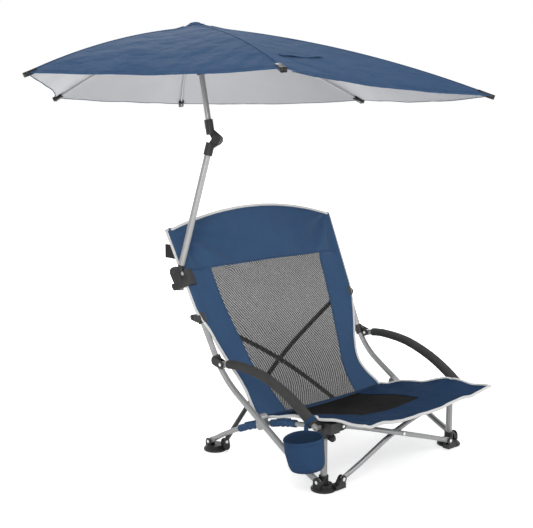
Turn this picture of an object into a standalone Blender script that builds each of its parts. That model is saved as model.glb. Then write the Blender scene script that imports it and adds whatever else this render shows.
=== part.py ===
"""A low folding camp chair with a clamp-on sunshade, in metres, +Z up, facing -Y.

The chair is drawn from the floor point midway between its front feet, and an empty
then shifts all of it so that the origin is below the middle of its outer box.
Right and left are the sitter's, so right is -X.
"""

import math

import bmesh
import bpy
from mathutils import Matrix, Vector

# Fit between pieces, and how finely round shapes are drawn
GAP = 0.0003
TUBE_SIDES = 10
PIN_SIDES = 8
ROUND_SIDES = 18
KNOT_ROOM = 0.008
HEADING_STEP = 0.004

# How far a cutter runs past what it cuts
CUT_RUN = 0.01
PIN_HOLE_REACH = 0.02
CROSSING_HOLE_REACH = 0.04
SLOT_RUN_ASIDE = 0.04
SLOT_RUN_UP = 0.03
END_ROOM = 0.0008

# Stance and feet
FOOT_HALF_SPAN = 0.272
FOOT_DEPTH = 0.444
FOOT_RADIUS = 0.035
FOOT_RIM = 0.0055
FOOT_CROWN = 0.0175
FOOT_CROWN_RADIUS = 0.026
SOCKET_RADIUS = 0.0132
SOCKET_TOP = 0.040
SOCKET_FLOOR = 0.0115
SOCKET_SLACK = 0.001
FOOT_EDGE_ROUND = 0.0016
FOOT_RIM_ROUND = 0.0022
FOOT_CROWN_ROUND = 0.003
POST_LUG_SINK = 0.0085
SIDE_LUG_SINK = 0.008
SIDE_SLOT_RUN = 0.05
CROSS_LUG_STEP = (0.010, 0.004, 0.010)
CROSS_LUG_RADIUS = 0.0095
REAR_LUG_DROP = 0.0145
FOOT_WEB_INNER_X = 0.224
FOOT_WEB_OUTER_X = 0.262
FOOT_WEB_FRONT = 0.0072
FOOT_WEB_BACK = 0.0150
FOOT_WEB_LOW = 0.0035
FOOT_WEB_TOP = 0.0165
EAR = 0.003
EAR_MARGIN = 0.0025
PIN_RADIUS = 0.0028
HEAD_RADIUS = 0.0052
HEAD_HEIGHT = 0.0016
HEAD_SINK = 0.0004

# Tubes: radius, and the shape of a flattened end as shares of that radius
POST_RADIUS = 0.00875
LEG_RADIUS = 0.0095
CROSS_RADIUS = 0.007
SIDE_RADIUS = 0.0072
REAR_RADIUS = 0.007
ARM_RADIUS = 0.008
FLAT_THIN_SHARE = 0.6
FLAT_WIDE_SHARE = 1.18
FLAT_LENGTH = 0.016
FLAT_TAPER = 0.018

# Back posts, in the side view, with their splay
POST_PIVOT_X = 0.2915
POST_PIVOT_Z = 0.026
POST_SHIN = (0.100, 0.070)
POST_KNEE = (0.371, 0.237)
POST_TOP = (0.5795, 0.650)
POST_KNEE_X = 0.300
POST_TOP_X = 0.330
SHIN_BEND = 0.60
KNEE_BEND = 0.25

# Front legs, brackets and cross
LEG_TOP = 0.1845
BRACKET_BOTTOM = 0.146
BRACKET_TOP = 0.190
BRACKET_INNER_X = 0.2563
BRACKET_OUTER_X = 0.2860
BRACKET_BACK = 0.0145
BRACKET_FRONT = -0.0385
CROSS_FOOT_X = 0.2325
CROSS_FOOT_Z = 0.028
CROSS_TOP_X = 0.2365
CROSS_TOP_Z = 0.176
CROSS_Y = -0.030
CROSS_MIDDLE_Z = 0.105
CROSS_BOW = 0.0125
BOW_START_SHARE = 0.07
BRACKET_LUG_RUN = 0.024
BRACKET_SLOT_RUN = 0.06
BRACKET_ARM_INSET = 0.004
BRACKET_ARM_LAP = 0.004
BRACKET_ARM_DROP = 0.014
BOSS_ROOT_X = 0.280
BOSS_RADIUS = 0.0075
LEG_BORE_RUN = 0.08

# Side tubes, their pivot blocks, and the pin that runs in the bracket's slot
SIDE_REAR = (0.283, 0.455, 0.026)
SIDE_PIVOT = (0.2640, 0.2275, 0.128)
SIDE_FRONT = (0.2475, 0.028, 0.158)
SIDE_SLACK = 0.0011
SLOT_LENGTH = 0.0485
SLOT_SLOPE = math.radians(17.0)
SLOT_HALF = 0.0056
SLOT_PIN = 0.0030
SLOT_DEPTH = 0.0044
CHEEK = 0.0058
PIVOT_BLOCK_WIDTH = 0.026
PIVOT_BLOCK_TOP_RADIUS = 0.0115
PIVOT_BLOCK_ROOM = 0.0045
PIVOT_BLOCK_RISE = 0.001
PIVOT_RIVET_SINK = 0.004
PIVOT_SCREW_RADIUS = 0.0022
PIVOT_SCREW_SINK = 0.003
PIVOT_SCREW_ROOM = 0.0028
SCREW_HOLE_RADIUS = 0.0026
SCREW_HOLE_ROOM = 0.002
SLOT_PIN_ROOM = 0.0004
SLOT_OPENING = 0.002
CHEEK_HALF = 0.0105

# Rear cross, in a plane that leans back
REAR_FOOT_X = 0.259
REAR_FOOT_Y = 0.415
REAR_FOOT_Z = 0.028
REAR_TOP_X = 0.3135
REAR_TOP_Y = 0.481
REAR_TOP_Z = 0.402
REAR_MIDDLE_Z = 0.222
REAR_BOW = 0.0125
REAR_CLIP_LENGTH = 0.030
REAR_BALL = 0.0087
REAR_BALL_ROOM = 0.0012
REAR_CHEEK = 0.0032
REAR_CHEEK_ROOT = 0.0125
REAR_CHEEK_TIP = 0.0085
REAR_HEAD_SINK = 0.002
COLLAR_WALL = 0.0042
CLIP_RADIUS = POST_RADIUS + GAP + COLLAR_WALL

# Arms, relative to the pivot on the post's clip
ARM_X = 0.309
ARM_PEG_X = 0.2935
ARM_PIVOT = (0.3685, 0.280)
ARM_REACH = 0.3735
ARM_CURVE_SHARES = (
    (0.0, 0.0),
    (0.18, 0.024),
    (0.45, 0.0),
    (0.70, -0.085),
    (0.88, -0.185),
    (1.0, -0.272),
)
GRIP_REAR_RADIUS = 0.0125
GRIP_FRONT_RADIUS = 0.0148
GRIP_SPAN_SHARES = (0.075, 0.972)
ARM_CLIP_LENGTH = 0.028
ARM_CLIP_RISE = 0.006
ARM_CLIP_LUG_ROOT = 0.0125
ARM_SLOT_RUN = 0.05
ARM_SLOT_ROOM = 0.004
ARM_PEG_RADIUS = 0.0060

# Cup holder, hung from the right arm's front end
CUP_X = -0.3795
CUP_Y = -0.030
CUP_RIM_Z = 0.174
CUP_BASE_Z = 0.094
CUP_RIM_RADIUS = 0.052
CUP_BASE_RADIUS = 0.045
CUP_WALL = 0.002
CUP_FLOOR = 0.003
CUP_LIP_FLARE = 0.001
CUP_LOOP_SHARE = 0.945
CUP_LOOP_LENGTH = 0.010
CUP_LOOP_CLEAR = 0.0010
CUP_TAB_DROP = 0.006
CUP_TAB_DEPTH = 0.012
CUP_TAB_HALF = 0.007
CUP_TAB_THICKNESS = 0.005

# Sling: heights and depths are shares of the back's size, widths of its half width
SLING_TOP = 0.700
SLING_DEPTH = 0.600
SLING_HALF_WIDTH = 0.330
CLOTH = 0.0020
SLEEVE_WALL = 0.0018
SLEEVE_CLEAR = 0.0006
# height, depth, edge depth, edge width, window width, rise of the middle
BACK_ROW_SHARES = (
    (0.200, 0.462, 0.462, 0.790, 0.455, 0.000),
    (0.286, 0.553, 0.566, 0.742, 0.494, 0.000),
    (0.371, 0.622, 0.628, 0.795, 0.563, 0.000),
    (0.457, 0.676, 0.674, 0.872, 0.600, 0.000),
    (0.529, 0.722, 0.710, 0.921, 0.632, 0.000),
    (0.629, 0.780, 0.7710, 0.944, 0.668, 0.000),
    (0.714, 0.827, 0.8205, 0.956, 0.687, 0.000),
    (0.760, 0.849, 0.8474, 0.964, 0.694, 0.006),
    (0.850, 0.900, 0.9000, 0.976, 0.715, 0.020),
    (0.930, 0.953, 0.9468, 0.988, 0.730, 0.070),
)
WINDOW_TOP_ROW = 7
MIDDLE_SLEEVE = (0.436, 0.476)
TOP_SLEEVE = (0.560, 0.660)
SLEEVE_CAP = 0.0045
SLEEVE_END_ROOM = 0.0009
SEAT_REACH = 0.245
SEAT_HEIGHT = 0.210
# depth, height, edge depth, edge height, edge width, window width
SEAT_ROW_SHARES = (
    (1.000, 0.590, 1.060, 0.650, 0.788, 0.455),
    (0.780, 0.605, 0.820, 0.735, 0.800, 0.460),
    (0.400, 0.700, 0.420, 0.840, 0.812, 0.440),
    (0.085, 0.768, 0.085, 0.933, 0.818, 0.415),
    (0.000, 0.785, 0.000, 0.941, 0.818, 0.410),
    (-0.220, 0.805, -0.290, 0.960, 0.821, 0.400),
    (-0.430, 0.815, -0.583, 0.986, 0.824, 0.390),
)
SEAT_WINDOW_ROW = 4
SEAT_CURVE = 1.6
MESH_INSET = 0.0006

# Sleeves of the sling round the side tubes, as shares of the tube's length from its rear end
SIDE_SLEEVE_SHARES = ((0.325, 0.490), (0.612, 0.775))
SIDE_SLEEVE_WALL = 0.0020
SIDE_BORE_RUN_SHARE = 0.03
STRIP_INSET = 0.01
STRIP_SINK = 0.0005
STRIP_HALF_WIDTH = 0.0055
STRIP_HALF_THICKNESS = 0.0016

# Webbing tab behind the right post
TAB_HEIGHT = 0.040
TAB_REACH = 0.044
TAB_THICKNESS = 0.0022
TAB_Z = 0.585

# Sunshade pole: the plane in which it tilts, and where it stands on the clamp
SHADE_BEARING = math.radians(-58.67)
SHADE_ROLL = math.radians(4.0)
POLE_FOOT = (-0.3455, 0.5235, 0.500)
LOWER_LEAN = math.radians(13.32)
UPPER_LEAN = math.radians(-9.96)
LOWER_LENGTH = 0.427
UPPER_LENGTH = 0.314
LOWER_RADIUS = 0.0095
UPPER_RADIUS = 0.0080
POLE_START = 0.0545
SPIGOT_RADIUS = 0.0072
SPIGOT_LENGTH = 0.026
TILT_OFFSET = -0.006
TILT_HEIGHT = 0.034
TILT_BOSS = 0.0125
TONGUE = 0.0062
TONGUE_ROOT_RADIUS = 0.0085
TONGUE_ROOT_DROP = 0.0065
COLLAR_DROP = 0.0050
POLE_END_ROOM = 0.004

# Clamp on the right post
CLAMP_Z = 0.512
CLAMP_HALF_HEIGHT = 0.024
CLAMP_BACK = -0.0200
CLAMP_FRONT = 0.0340
CLAMP_NEAR = -0.0240
CLAMP_FAR = 0.0130
CHANNEL_NEAR = -0.0100
JAW_START = 0.0094
JAW_END = 0.0185
CHANNEL_END = 0.0252
SCREW_RADIUS = 0.0032
KNOB_RADIUS = 0.0110
KNOB_LENGTH = 0.0120
KNOB_GAP = 0.004
KNOB_ROUND = 0.0015
FLUTE_RADIUS = 0.0030
FLUTE_OFFSET = 0.0012
FLUTE_START = 0.002
CHANNEL_RUN = 0.02
SCREW_HEIGHT = -0.008
TAP_START = 0.012
TAP_END = 0.06
JAW_BACK = 0.002
JAW_INSET = 0.003
TILT_EAR_MARGIN = 0.002
TILT_EAR_ROOT_RADIUS = 0.014
TILT_EAR_ROOT = (0.020, 0.004, 0.008)
CLEFT_BACK = 0.020
CLEFT_FRONT = 0.030
CLEFT_RUN = 0.05
CLEFT_ROOM = 0.001

# Elbow between the two poles
ELBOW_OFFSET = 0.0190
ELBOW_LOWER_SPAN = (0.046, 0.010)
ELBOW_UPPER_SPAN = (0.0145, 0.057)
ELBOW_SOCKET_WALL = 0.0032
ELBOW_BOSS = 0.0145
ELBOW_TONGUE = 0.0044
ELBOW_EAR = 0.0038
ELBOW_KNOB_RADIUS = 0.0135
ELBOW_KNOB_LENGTH = 0.0100
ELBOW_KNOB_ROUND = 0.0012
ELBOW_LINK_RUN = 0.010
ELBOW_LINK_LEAN = 0.004
ELBOW_LINK_ROOT = 0.0080
ELBOW_CLEFT_BACK = 0.030
ELBOW_CLEFT_FRONT = 0.024
ELBOW_CLEFT_RUN = 0.04
ELBOW_END_WALL = 0.0037
UPPER_SOCKET_EXTRA = 0.0008

# Canopy: the reach and the drop of each kind of rib from the hub to its tip
FRONT_RIB = (0.783, 0.332)
FRONT_SIDE_RIB = (0.609, 0.231)
REAR_SIDE_RIB = (0.592, 0.132)
REAR_RIB = (0.456, 0.117)
# name, angle round the pole from the front, reach, drop
RIB_TIPS = (
    ("front", 0.0, *FRONT_RIB),
    ("front_left", 54.3, *FRONT_SIDE_RIB),
    ("rear_left", 116.2, *REAR_SIDE_RIB),
    ("rear", 180.0, *REAR_RIB),
    ("rear_right", -116.2, *REAR_SIDE_RIB),
    ("front_right", -54.3, *FRONT_SIDE_RIB),
)
RIB_RADIUS = 0.0024
RIB_SIDES = 8
RIB_ARCH_SHARE = 0.033
RIB_CAP_RADIUS = 0.0042
RIB_CAP_LENGTH = 0.012
RIB_CAP_ROUND = 0.002
RIB_CAP_POINT = 0.0025
RIB_END_ROOM = 0.003
RIB_LUG_RADIUS = 0.0042
RIB_LUG_ROOT_RADIUS = 0.0034
RIB_PIN_RADIUS = 0.0015
RIB_PIN_HEAD = 0.0006
HUB_RADIUS = 0.0225
HUB_PIVOT_RADIUS = 0.0170
HUB_HALF_HEIGHT = 0.0085
FINIAL_RADIUS = 0.0085
FINIAL_TOP = 0.018
FINIAL_STEM = 0.0050
RING_ROUND = 0.0015
RING_SLOT_DEPTH = 0.0050
RING_SLOT_RUN = 0.03
RUNNER_DROP = 0.100
RUNNER_RADIUS = 0.0225
RUNNER_HALF_HEIGHT = 0.0085
RUNNER_SKIRT = 0.020
SKIRT_END_WALL = 0.0045
SKIRT_ROOT_WALL = 0.0060
RUNNER_BORE_DOWN = 0.04
RUNNER_BORE_UP = 0.03
STRETCHER_REACH = 0.105
STRETCHER_HALF = 0.0034
LUG = 0.0015
CANOPY_THICKNESS = 0.0012
CANOPY_LIFT = 0.0042
CANOPY_EYE = 0.0125
CANOPY_EYE_STEP = 0.010
CANOPY_EYE_RISE = 0.0065
CANOPY_RING_SHARES = (0.0, 0.12, 0.28, 0.46, 0.64, 0.82, 1.0)
CANOPY_STEPS = 4
CANOPY_DIP_SHARE = 0.012
CANOPY_SCALLOP_SHARE = 0.035
CANOPY_OVERHANG = 0.004

# Finishes: colour, roughness, metallic
FINISHES = {
    "plastic": ((0.012, 0.012, 0.013, 1.0), 0.45, 0.0),
    "tube": ((0.44, 0.44, 0.44, 1.0), 0.35, 0.6),
    "rivet": ((0.75, 0.75, 0.75, 1.0), 0.3, 0.8),
    "foam": ((0.035, 0.035, 0.036, 1.0), 0.9, 0.0),
    "navy": ((0.045, 0.095, 0.195, 1.0), 0.8, 0.0),
    "mesh": ((0.18, 0.18, 0.18, 1.0), 0.85, 0.0),
    "black_mesh": ((0.020, 0.020, 0.021, 1.0), 0.85, 0.0),
    "webbing": ((0.030, 0.030, 0.032, 1.0), 0.85, 0.0),
    "pale_tube": ((0.62, 0.61, 0.59, 1.0), 0.4, 0.3),
}

X_AXIS = Vector((1.0, 0.0, 0.0))
Y_AXIS = Vector((0.0, 1.0, 0.0))
Z_AXIS = Vector((0.0, 0.0, 1.0))
SIDES = (("right", -1.0), ("left", 1.0))


# Scene helpers


def clear_scene():
    for item in list(bpy.data.objects):
        bpy.data.objects.remove(item, do_unlink=True)


def make_material(name, finish):
    colour, roughness, metallic = FINISHES[finish]
    material = bpy.data.materials.new(name)
    material.use_nodes = True
    shader = material.node_tree.nodes["Principled BSDF"]
    shader.inputs["Base Color"].default_value = colour
    shader.inputs["Roughness"].default_value = roughness
    shader.inputs["Metallic"].default_value = metallic
    return material


def make_object(name, shape, origin, root):
    """A mesh object from a bmesh drawn in the chair's frame, with its origin at one point."""
    bmesh.ops.translate(shape, vec=-origin, verts=shape.verts)
    bmesh.ops.recalc_face_normals(shape, faces=shape.faces)
    mesh = bpy.data.meshes.new(name)
    shape.to_mesh(mesh)
    shape.free()
    mesh.shade_smooth()
    mesh.set_sharp_from_angle(angle=math.radians(38.0))
    item = bpy.data.objects.new(name, mesh)
    item.location = origin
    item.parent = root
    bpy.context.scene.collection.objects.link(item)
    return item


def make_piece(root, name, finish, origin, shape, joins=(), cuts=()):
    """One piece: a base shape, shapes joined to it, then shapes cut from it."""
    item = make_object(name, shape, origin, root)
    item.data.materials.append(make_material(name, finish))
    for operation, tools in (("UNION", joins), ("DIFFERENCE", cuts)):
        for number, tool_shape in enumerate(tools):
            label = f"{name}_{operation.lower()}_{number}"
            tool = make_object(label, tool_shape, origin, root)
            tool.hide_render = True
            tool.display_type = "WIRE"
            modifier = item.modifiers.new(label, "BOOLEAN")
            modifier.operation = operation
            modifier.solver = "EXACT"
            modifier.object = tool
    return item


# Shapes


def ring_vertices(shape, centre, first, second, sides):
    """A ring of vertices on the ellipse centre + cos*first + sin*second."""
    ring = []
    for number in range(sides):
        turn = 2.0 * math.pi * (number + 0.5) / sides
        ring.append(shape.verts.new(centre + math.cos(turn) * first + math.sin(turn) * second))
    return ring


def skin_rings(rings_of_points, sides):
    """A closed solid through rings given as (centre, first half axis, second half axis)."""
    shape = bmesh.new()
    rings = [ring_vertices(shape, *ring, sides) for ring in rings_of_points]
    for before, after in zip(rings, rings[1:]):
        for number in range(sides):
            following = (number + 1) % sides
            shape.faces.new((before[number], before[following], after[following], after[number]))
    shape.faces.new(rings[0])
    shape.faces.new(rings[-1])
    return shape


def square_to(direction):
    """Two unit vectors square to a direction and to each other."""
    helper = X_AXIS if abs(direction.x) < 0.9 else Y_AXIS
    first = direction.cross(helper).normalized()
    return first, direction.cross(first).normalized()


def turned(profile, base, direction, sides=ROUND_SIDES):
    """A turned solid from (distance along the axis, radius) pairs."""
    direction = direction.normalized()
    first, second = square_to(direction)
    rings = [(base + direction * along, first * radius, second * radius) for along, radius in profile]
    return skin_rings(rings, sides)


def rod(start, end, radius, sides=ROUND_SIDES):
    return turned(((0.0, radius), ((end - start).length, radius)), start, end - start, sides)


def rivet(start, end, shank=PIN_RADIUS, head=HEAD_RADIUS):
    """A pin between two points, with a head beyond each of them."""
    length = (end - start).length
    profile = (
        (-HEAD_HEIGHT, head * 0.7),
        (-HEAD_HEIGHT * 0.5, head),
        (HEAD_SINK, head),
        (HEAD_SINK, shank),
        (length - HEAD_SINK, shank),
        (length - HEAD_SINK, head),
        (length + HEAD_HEIGHT * 0.5, head),
        (length + HEAD_HEIGHT, head * 0.7),
    )
    return turned(profile, start, end - start, PIN_SIDES)


def prism(outline, centre, across, up, depth):
    """An outline in the plane of two unit vectors, extruded evenly both ways."""
    shape = bmesh.new()
    normal = across.cross(up).normalized()
    rows = []
    for offset in (-depth / 2.0, depth / 2.0):
        points = [centre + across * a + up * b + normal * offset for a, b in outline]
        rows.append([shape.verts.new(point) for point in points])
    count = len(outline)
    for number in range(count):
        following = (number + 1) % count
        shape.faces.new((rows[0][number], rows[0][following], rows[1][following], rows[1][number]))
    shape.faces.new(rows[0])
    shape.faces.new(rows[1])
    return shape


def block(low, high):
    """A box from its lowest to its highest corner."""
    size = Vector(high) - Vector(low)
    outline = ((0.0, 0.0), (size.x, 0.0), (size.x, size.y), (0.0, size.y))
    middle = Vector((low[0], low[1], low[2] + size.z / 2.0))
    return prism(outline, middle, X_AXIS, Y_AXIS, size.z)


def mirrored_block(side, low, high):
    """A box whose X values are given outward from the middle of the chair."""
    inner, outer = sorted((side * low[0], side * high[0]))
    return block((inner, low[1], low[2]), (outer, high[1], high[2]))


def strap(start, end, start_radius, end_radius, axis, depth, steps=5):
    """A plate round two discs: a lug, an ear or a link, extruded along an axis."""
    axis = axis.normalized()
    reach = end - start
    reach = reach - axis * reach.dot(axis)
    length = reach.length
    up = reach / length
    across = up.cross(axis).normalized()
    lean = math.asin((start_radius - end_radius) / length)
    outline = []
    for number in range(steps + 1):
        turn = lean + (math.pi - 2.0 * lean) * number / steps
        outline.append((end_radius * math.cos(turn), length + end_radius * math.sin(turn)))
    for number in range(steps + 1):
        turn = math.pi - lean + (math.pi + 2.0 * lean) * number / steps
        outline.append((start_radius * math.cos(turn), start_radius * math.sin(turn)))
    return prism(outline, start, across, up, depth)


# Paths


def turn_about(vector, axis, angle):
    return Matrix.Rotation(angle, 3, axis) @ vector


def arc_through(start, middle, end, steps=8):
    """Points on the circle through three points."""
    a = start - middle
    b = end - middle
    normal = a.cross(b)
    centre = middle + (b * a.length_squared - a * b.length_squared).cross(normal) / (
        2.0 * normal.length_squared
    )
    first = start - centre
    last = end - centre
    axis = first.cross(last).normalized()
    sweep = first.angle(last)
    return [centre + turn_about(first, axis, sweep * n / steps) for n in range(steps + 1)]


def filleted(corners, radii, arc_steps):
    """A route of straight runs with an arc of the given radius at each inner corner."""
    points = [corners[0]]
    for number, (radius, steps) in enumerate(zip(radii, arc_steps), start=1):
        corner = corners[number]
        before = (corner - corners[number - 1]).normalized()
        after = (corners[number + 1] - corner).normalized()
        half = before.angle(after) / 2.0
        setback = radius * math.tan(half)
        centre = corner + (after - before).normalized() * (radius / math.cos(half))
        first = corner - before * setback - centre
        last = corner + after * setback - centre
        axis = first.cross(last).normalized()
        points += [centre + turn_about(first, axis, 2.0 * half * n / steps) for n in range(steps + 1)]
    return points + [corners[-1]]


def smooth_route(points, steps=3):
    """A Catmull-Rom curve through the points."""
    padded = [points[0] * 2.0 - points[1], *points, points[-1] * 2.0 - points[-2]]
    route = []
    for a, b, c, d in zip(padded, padded[1:], padded[2:], padded[3:]):
        for number in range(steps):
            t = number / steps
            route.append(
                (b * 2.0 + (c - a) * t + (a * 2.0 - b * 5.0 + c * 4.0 - d) * t**2
                 + (b * 3.0 - a - c * 3.0 + d) * t**3) / 2.0
            )
    return route + [points[-1]]


class Route:
    """A route that can be read at any distance along it, or straight on past its ends."""

    def __init__(self, points):
        self.points = points
        self.lengths = [0.0]
        for before, after in zip(points, points[1:]):
            self.lengths.append(self.lengths[-1] + (after - before).length)
        self.length = self.lengths[-1]

    def at(self, distance):
        last = len(self.points) - 2
        index = 0
        while index < last and self.lengths[index + 1] < distance:
            index += 1
        run = self.points[index + 1] - self.points[index]
        share = (distance - self.lengths[index]) / run.length
        return self.points[index] + run * share

    def heading(self, distance):
        ahead = self.at(distance + HEADING_STEP)
        return (ahead - self.at(distance - HEADING_STEP)).normalized()

    def knots(self, start, end):
        """The distances of the route's own points between two distances, and those two."""
        inner = [length for length in self.lengths if start + KNOT_ROOM < length < end - KNOT_ROOM]
        return [start, *inner, end]

    def frame(self, distance, axis):
        """The place, and two unit vectors square to the route: the first nearest to the axis."""
        ahead = self.heading(distance)
        first = (axis - ahead * axis.dot(ahead)).normalized()
        return self.at(distance), first, ahead.cross(first).normalized()


def tube_rings(route, radius, axis, flat_start, flat_end):
    """Rings of a tube whose ends are pressed flat, square to the axis, and rounded off."""
    thin = radius * FLAT_THIN_SHARE
    wide = radius * FLAT_WIDE_SHARE
    taper = FLAT_LENGTH + FLAT_TAPER
    rings = []
    if flat_start:
        for turn in (72.0, 32.0):
            angle = math.radians(turn)
            rings.append((-wide * math.sin(angle), thin, wide * math.cos(angle)))
        rings += [(0.0, thin, wide), (FLAT_LENGTH, thin, wide)]
    run = route.knots(taper if flat_start else 0.0, route.length - (taper if flat_end else 0.0))
    rings += [(distance, radius, radius) for distance in run]
    if flat_end:
        rings += [(route.length - FLAT_LENGTH, thin, wide), (route.length, thin, wide)]
        for turn in (32.0, 72.0):
            angle = math.radians(turn)
            rings.append((route.length + wide * math.sin(angle), thin, wide * math.cos(angle)))
    placed = []
    for distance, half_thin, half_wide in rings:
        place, first, second = route.frame(distance, axis)
        placed.append((place, first * half_thin, second * half_wide))
    return placed


def tube(route, radius, axis=X_AXIS, flat_start=False, flat_end=False, sides=TUBE_SIDES):
    return skin_rings(tube_rings(route, radius, axis, flat_start, flat_end), sides)


def pin_hole(centre, axis, radius=PIN_RADIUS, reach=PIN_HOLE_REACH):
    return rod(centre - axis * reach, centre + axis * reach, radius + GAP, PIN_SIDES)


# Forks: two ears either side of a flattened tube end, with a pin through all three


def fork_half(tube_radius):
    return tube_radius * FLAT_THIN_SHARE + GAP


def fork_lug(pivot, root, axis, tube_radius, root_radius=None):
    """The lug, uncut, from its rounded end at the pivot to a root inside the body."""
    radius = tube_radius * FLAT_WIDE_SHARE + EAR_MARGIN
    depth = 2.0 * (fork_half(tube_radius) + EAR)
    return strap(pivot, root, radius, root_radius or radius, axis, depth)


def fork_slot(pivot, axis, tube_radius, low, high):
    """A box cut along the two directions square to the axis, from low to high offsets."""
    half = fork_half(tube_radius)
    if abs(axis.x) > 0.5:
        corner_low = (pivot.x - half, pivot.y + low[0], pivot.z + low[1])
        corner_high = (pivot.x + half, pivot.y + high[0], pivot.z + high[1])
    else:
        corner_low = (pivot.x + low[0], pivot.y - half, pivot.z + low[1])
        corner_high = (pivot.x + high[0], pivot.y + half, pivot.z + high[1])
    return block(corner_low, corner_high)


def fork_pin(pivot, axis, tube_radius):
    half = fork_half(tube_radius) + EAR
    return rivet(pivot - axis * half, pivot + axis * half)


def end_room(tube_radius):
    """How far a flattened end's rounding reaches past its pivot, with room to turn."""
    return tube_radius * FLAT_WIDE_SHARE + END_ROOM


# Routes of the frame's tubes


def post_route(side):
    corners = [
        Vector((side * POST_PIVOT_X, 0.0, POST_PIVOT_Z)),
        Vector((side * (POST_PIVOT_X + POST_KNEE_X) / 2.0, *POST_SHIN)),
        Vector((side * POST_KNEE_X, *POST_KNEE)),
        Vector((side * POST_TOP_X, *POST_TOP)),
    ]
    return Route(filleted(corners, (SHIN_BEND, KNEE_BEND), (3, 7)))


def bowed_route(start, middle, end, bow):
    """An arc drawn aside between its straight ends, so that two crossing tubes clear each other."""
    points = []
    base = Route(arc_through(start, middle, end, 12))
    shares = [0.0, BOW_START_SHARE]
    shares += [BOW_START_SHARE + (1.0 - 2.0 * BOW_START_SHARE) * n / 8.0 for n in range(1, 9)]
    for share in (*shares, 1.0):
        along = (share - BOW_START_SHARE) / (1.0 - 2.0 * BOW_START_SHARE)
        aside = math.sin(math.pi * min(max(along, 0.0), 1.0)) ** 2
        points.append(base.at(base.length * share) + bow * aside)
    return Route(points)


def cross_route(side):
    """From one front foot up to the other side's bracket; the left foot's tube lies in front."""
    start = Vector((side * CROSS_FOOT_X, CROSS_Y, CROSS_FOOT_Z))
    middle = Vector((0.0, CROSS_Y, CROSS_MIDDLE_Z))
    end = Vector((-side * CROSS_TOP_X, CROSS_Y, CROSS_TOP_Z))
    return bowed_route(start, middle, end, Y_AXIS * (-side * CROSS_BOW))


def side_route(side):
    places = [Vector((side * x, y, z)) for x, y, z in (SIDE_REAR, SIDE_PIVOT, SIDE_FRONT)]
    return Route(arc_through(*places))


def rear_normal():
    """The unit vector square to the rear cross's leaning plane, facing forward."""
    return Vector((0.0, -(REAR_TOP_Z - REAR_FOOT_Z), REAR_TOP_Y - REAR_FOOT_Y)).normalized()


def rear_middle():
    """Where the rear tubes cross, in their leaning plane."""
    share = (REAR_MIDDLE_Z - REAR_FOOT_Z) / (REAR_TOP_Z - REAR_FOOT_Z)
    return Vector((0.0, REAR_FOOT_Y + (REAR_TOP_Y - REAR_FOOT_Y) * share, REAR_MIDDLE_Z))


def rear_route(side):
    """From one rear foot up to the other side's clip; the left foot's tube lies in front."""
    start = Vector((side * REAR_FOOT_X, REAR_FOOT_Y, REAR_FOOT_Z))
    end = Vector((-side * REAR_TOP_X, REAR_TOP_Y, REAR_TOP_Z))
    return bowed_route(start, rear_middle(), end, rear_normal() * (side * REAR_BOW))


def arm_route(side):
    points = []
    for forward, rise in ARM_CURVE_SHARES:
        y = ARM_PIVOT[0] - forward * ARM_REACH
        z = ARM_PIVOT[1] + rise * ARM_REACH
        points.append(Vector((side * ARM_X, y, z)))
    return Route(smooth_route(points))


def distance_at_height(route, height):
    """How far along a rising route a height is reached."""
    low, high = 0.0, route.length
    for _ in range(40):
        middle = (low + high) / 2.0
        if route.at(middle).z < height:
            low = middle
        else:
            high = middle
    return low


def rectangle(left, right, bottom, top):
    return (left, bottom), (right, bottom), (right, top), (left, top)


# Feet


def foot_disc(centre):
    profile = (
        (0.0, FOOT_RADIUS * 0.95),
        (FOOT_EDGE_ROUND, FOOT_RADIUS),
        (FOOT_RIM, FOOT_RADIUS),
        (FOOT_RIM + FOOT_RIM_ROUND, FOOT_RADIUS * 0.93),
        (FOOT_CROWN - FOOT_CROWN_ROUND, FOOT_CROWN_RADIUS),
        (FOOT_CROWN, FOOT_CROWN_RADIUS * 0.92),
    )
    return turned(profile, centre, Z_AXIS, 24)


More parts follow.
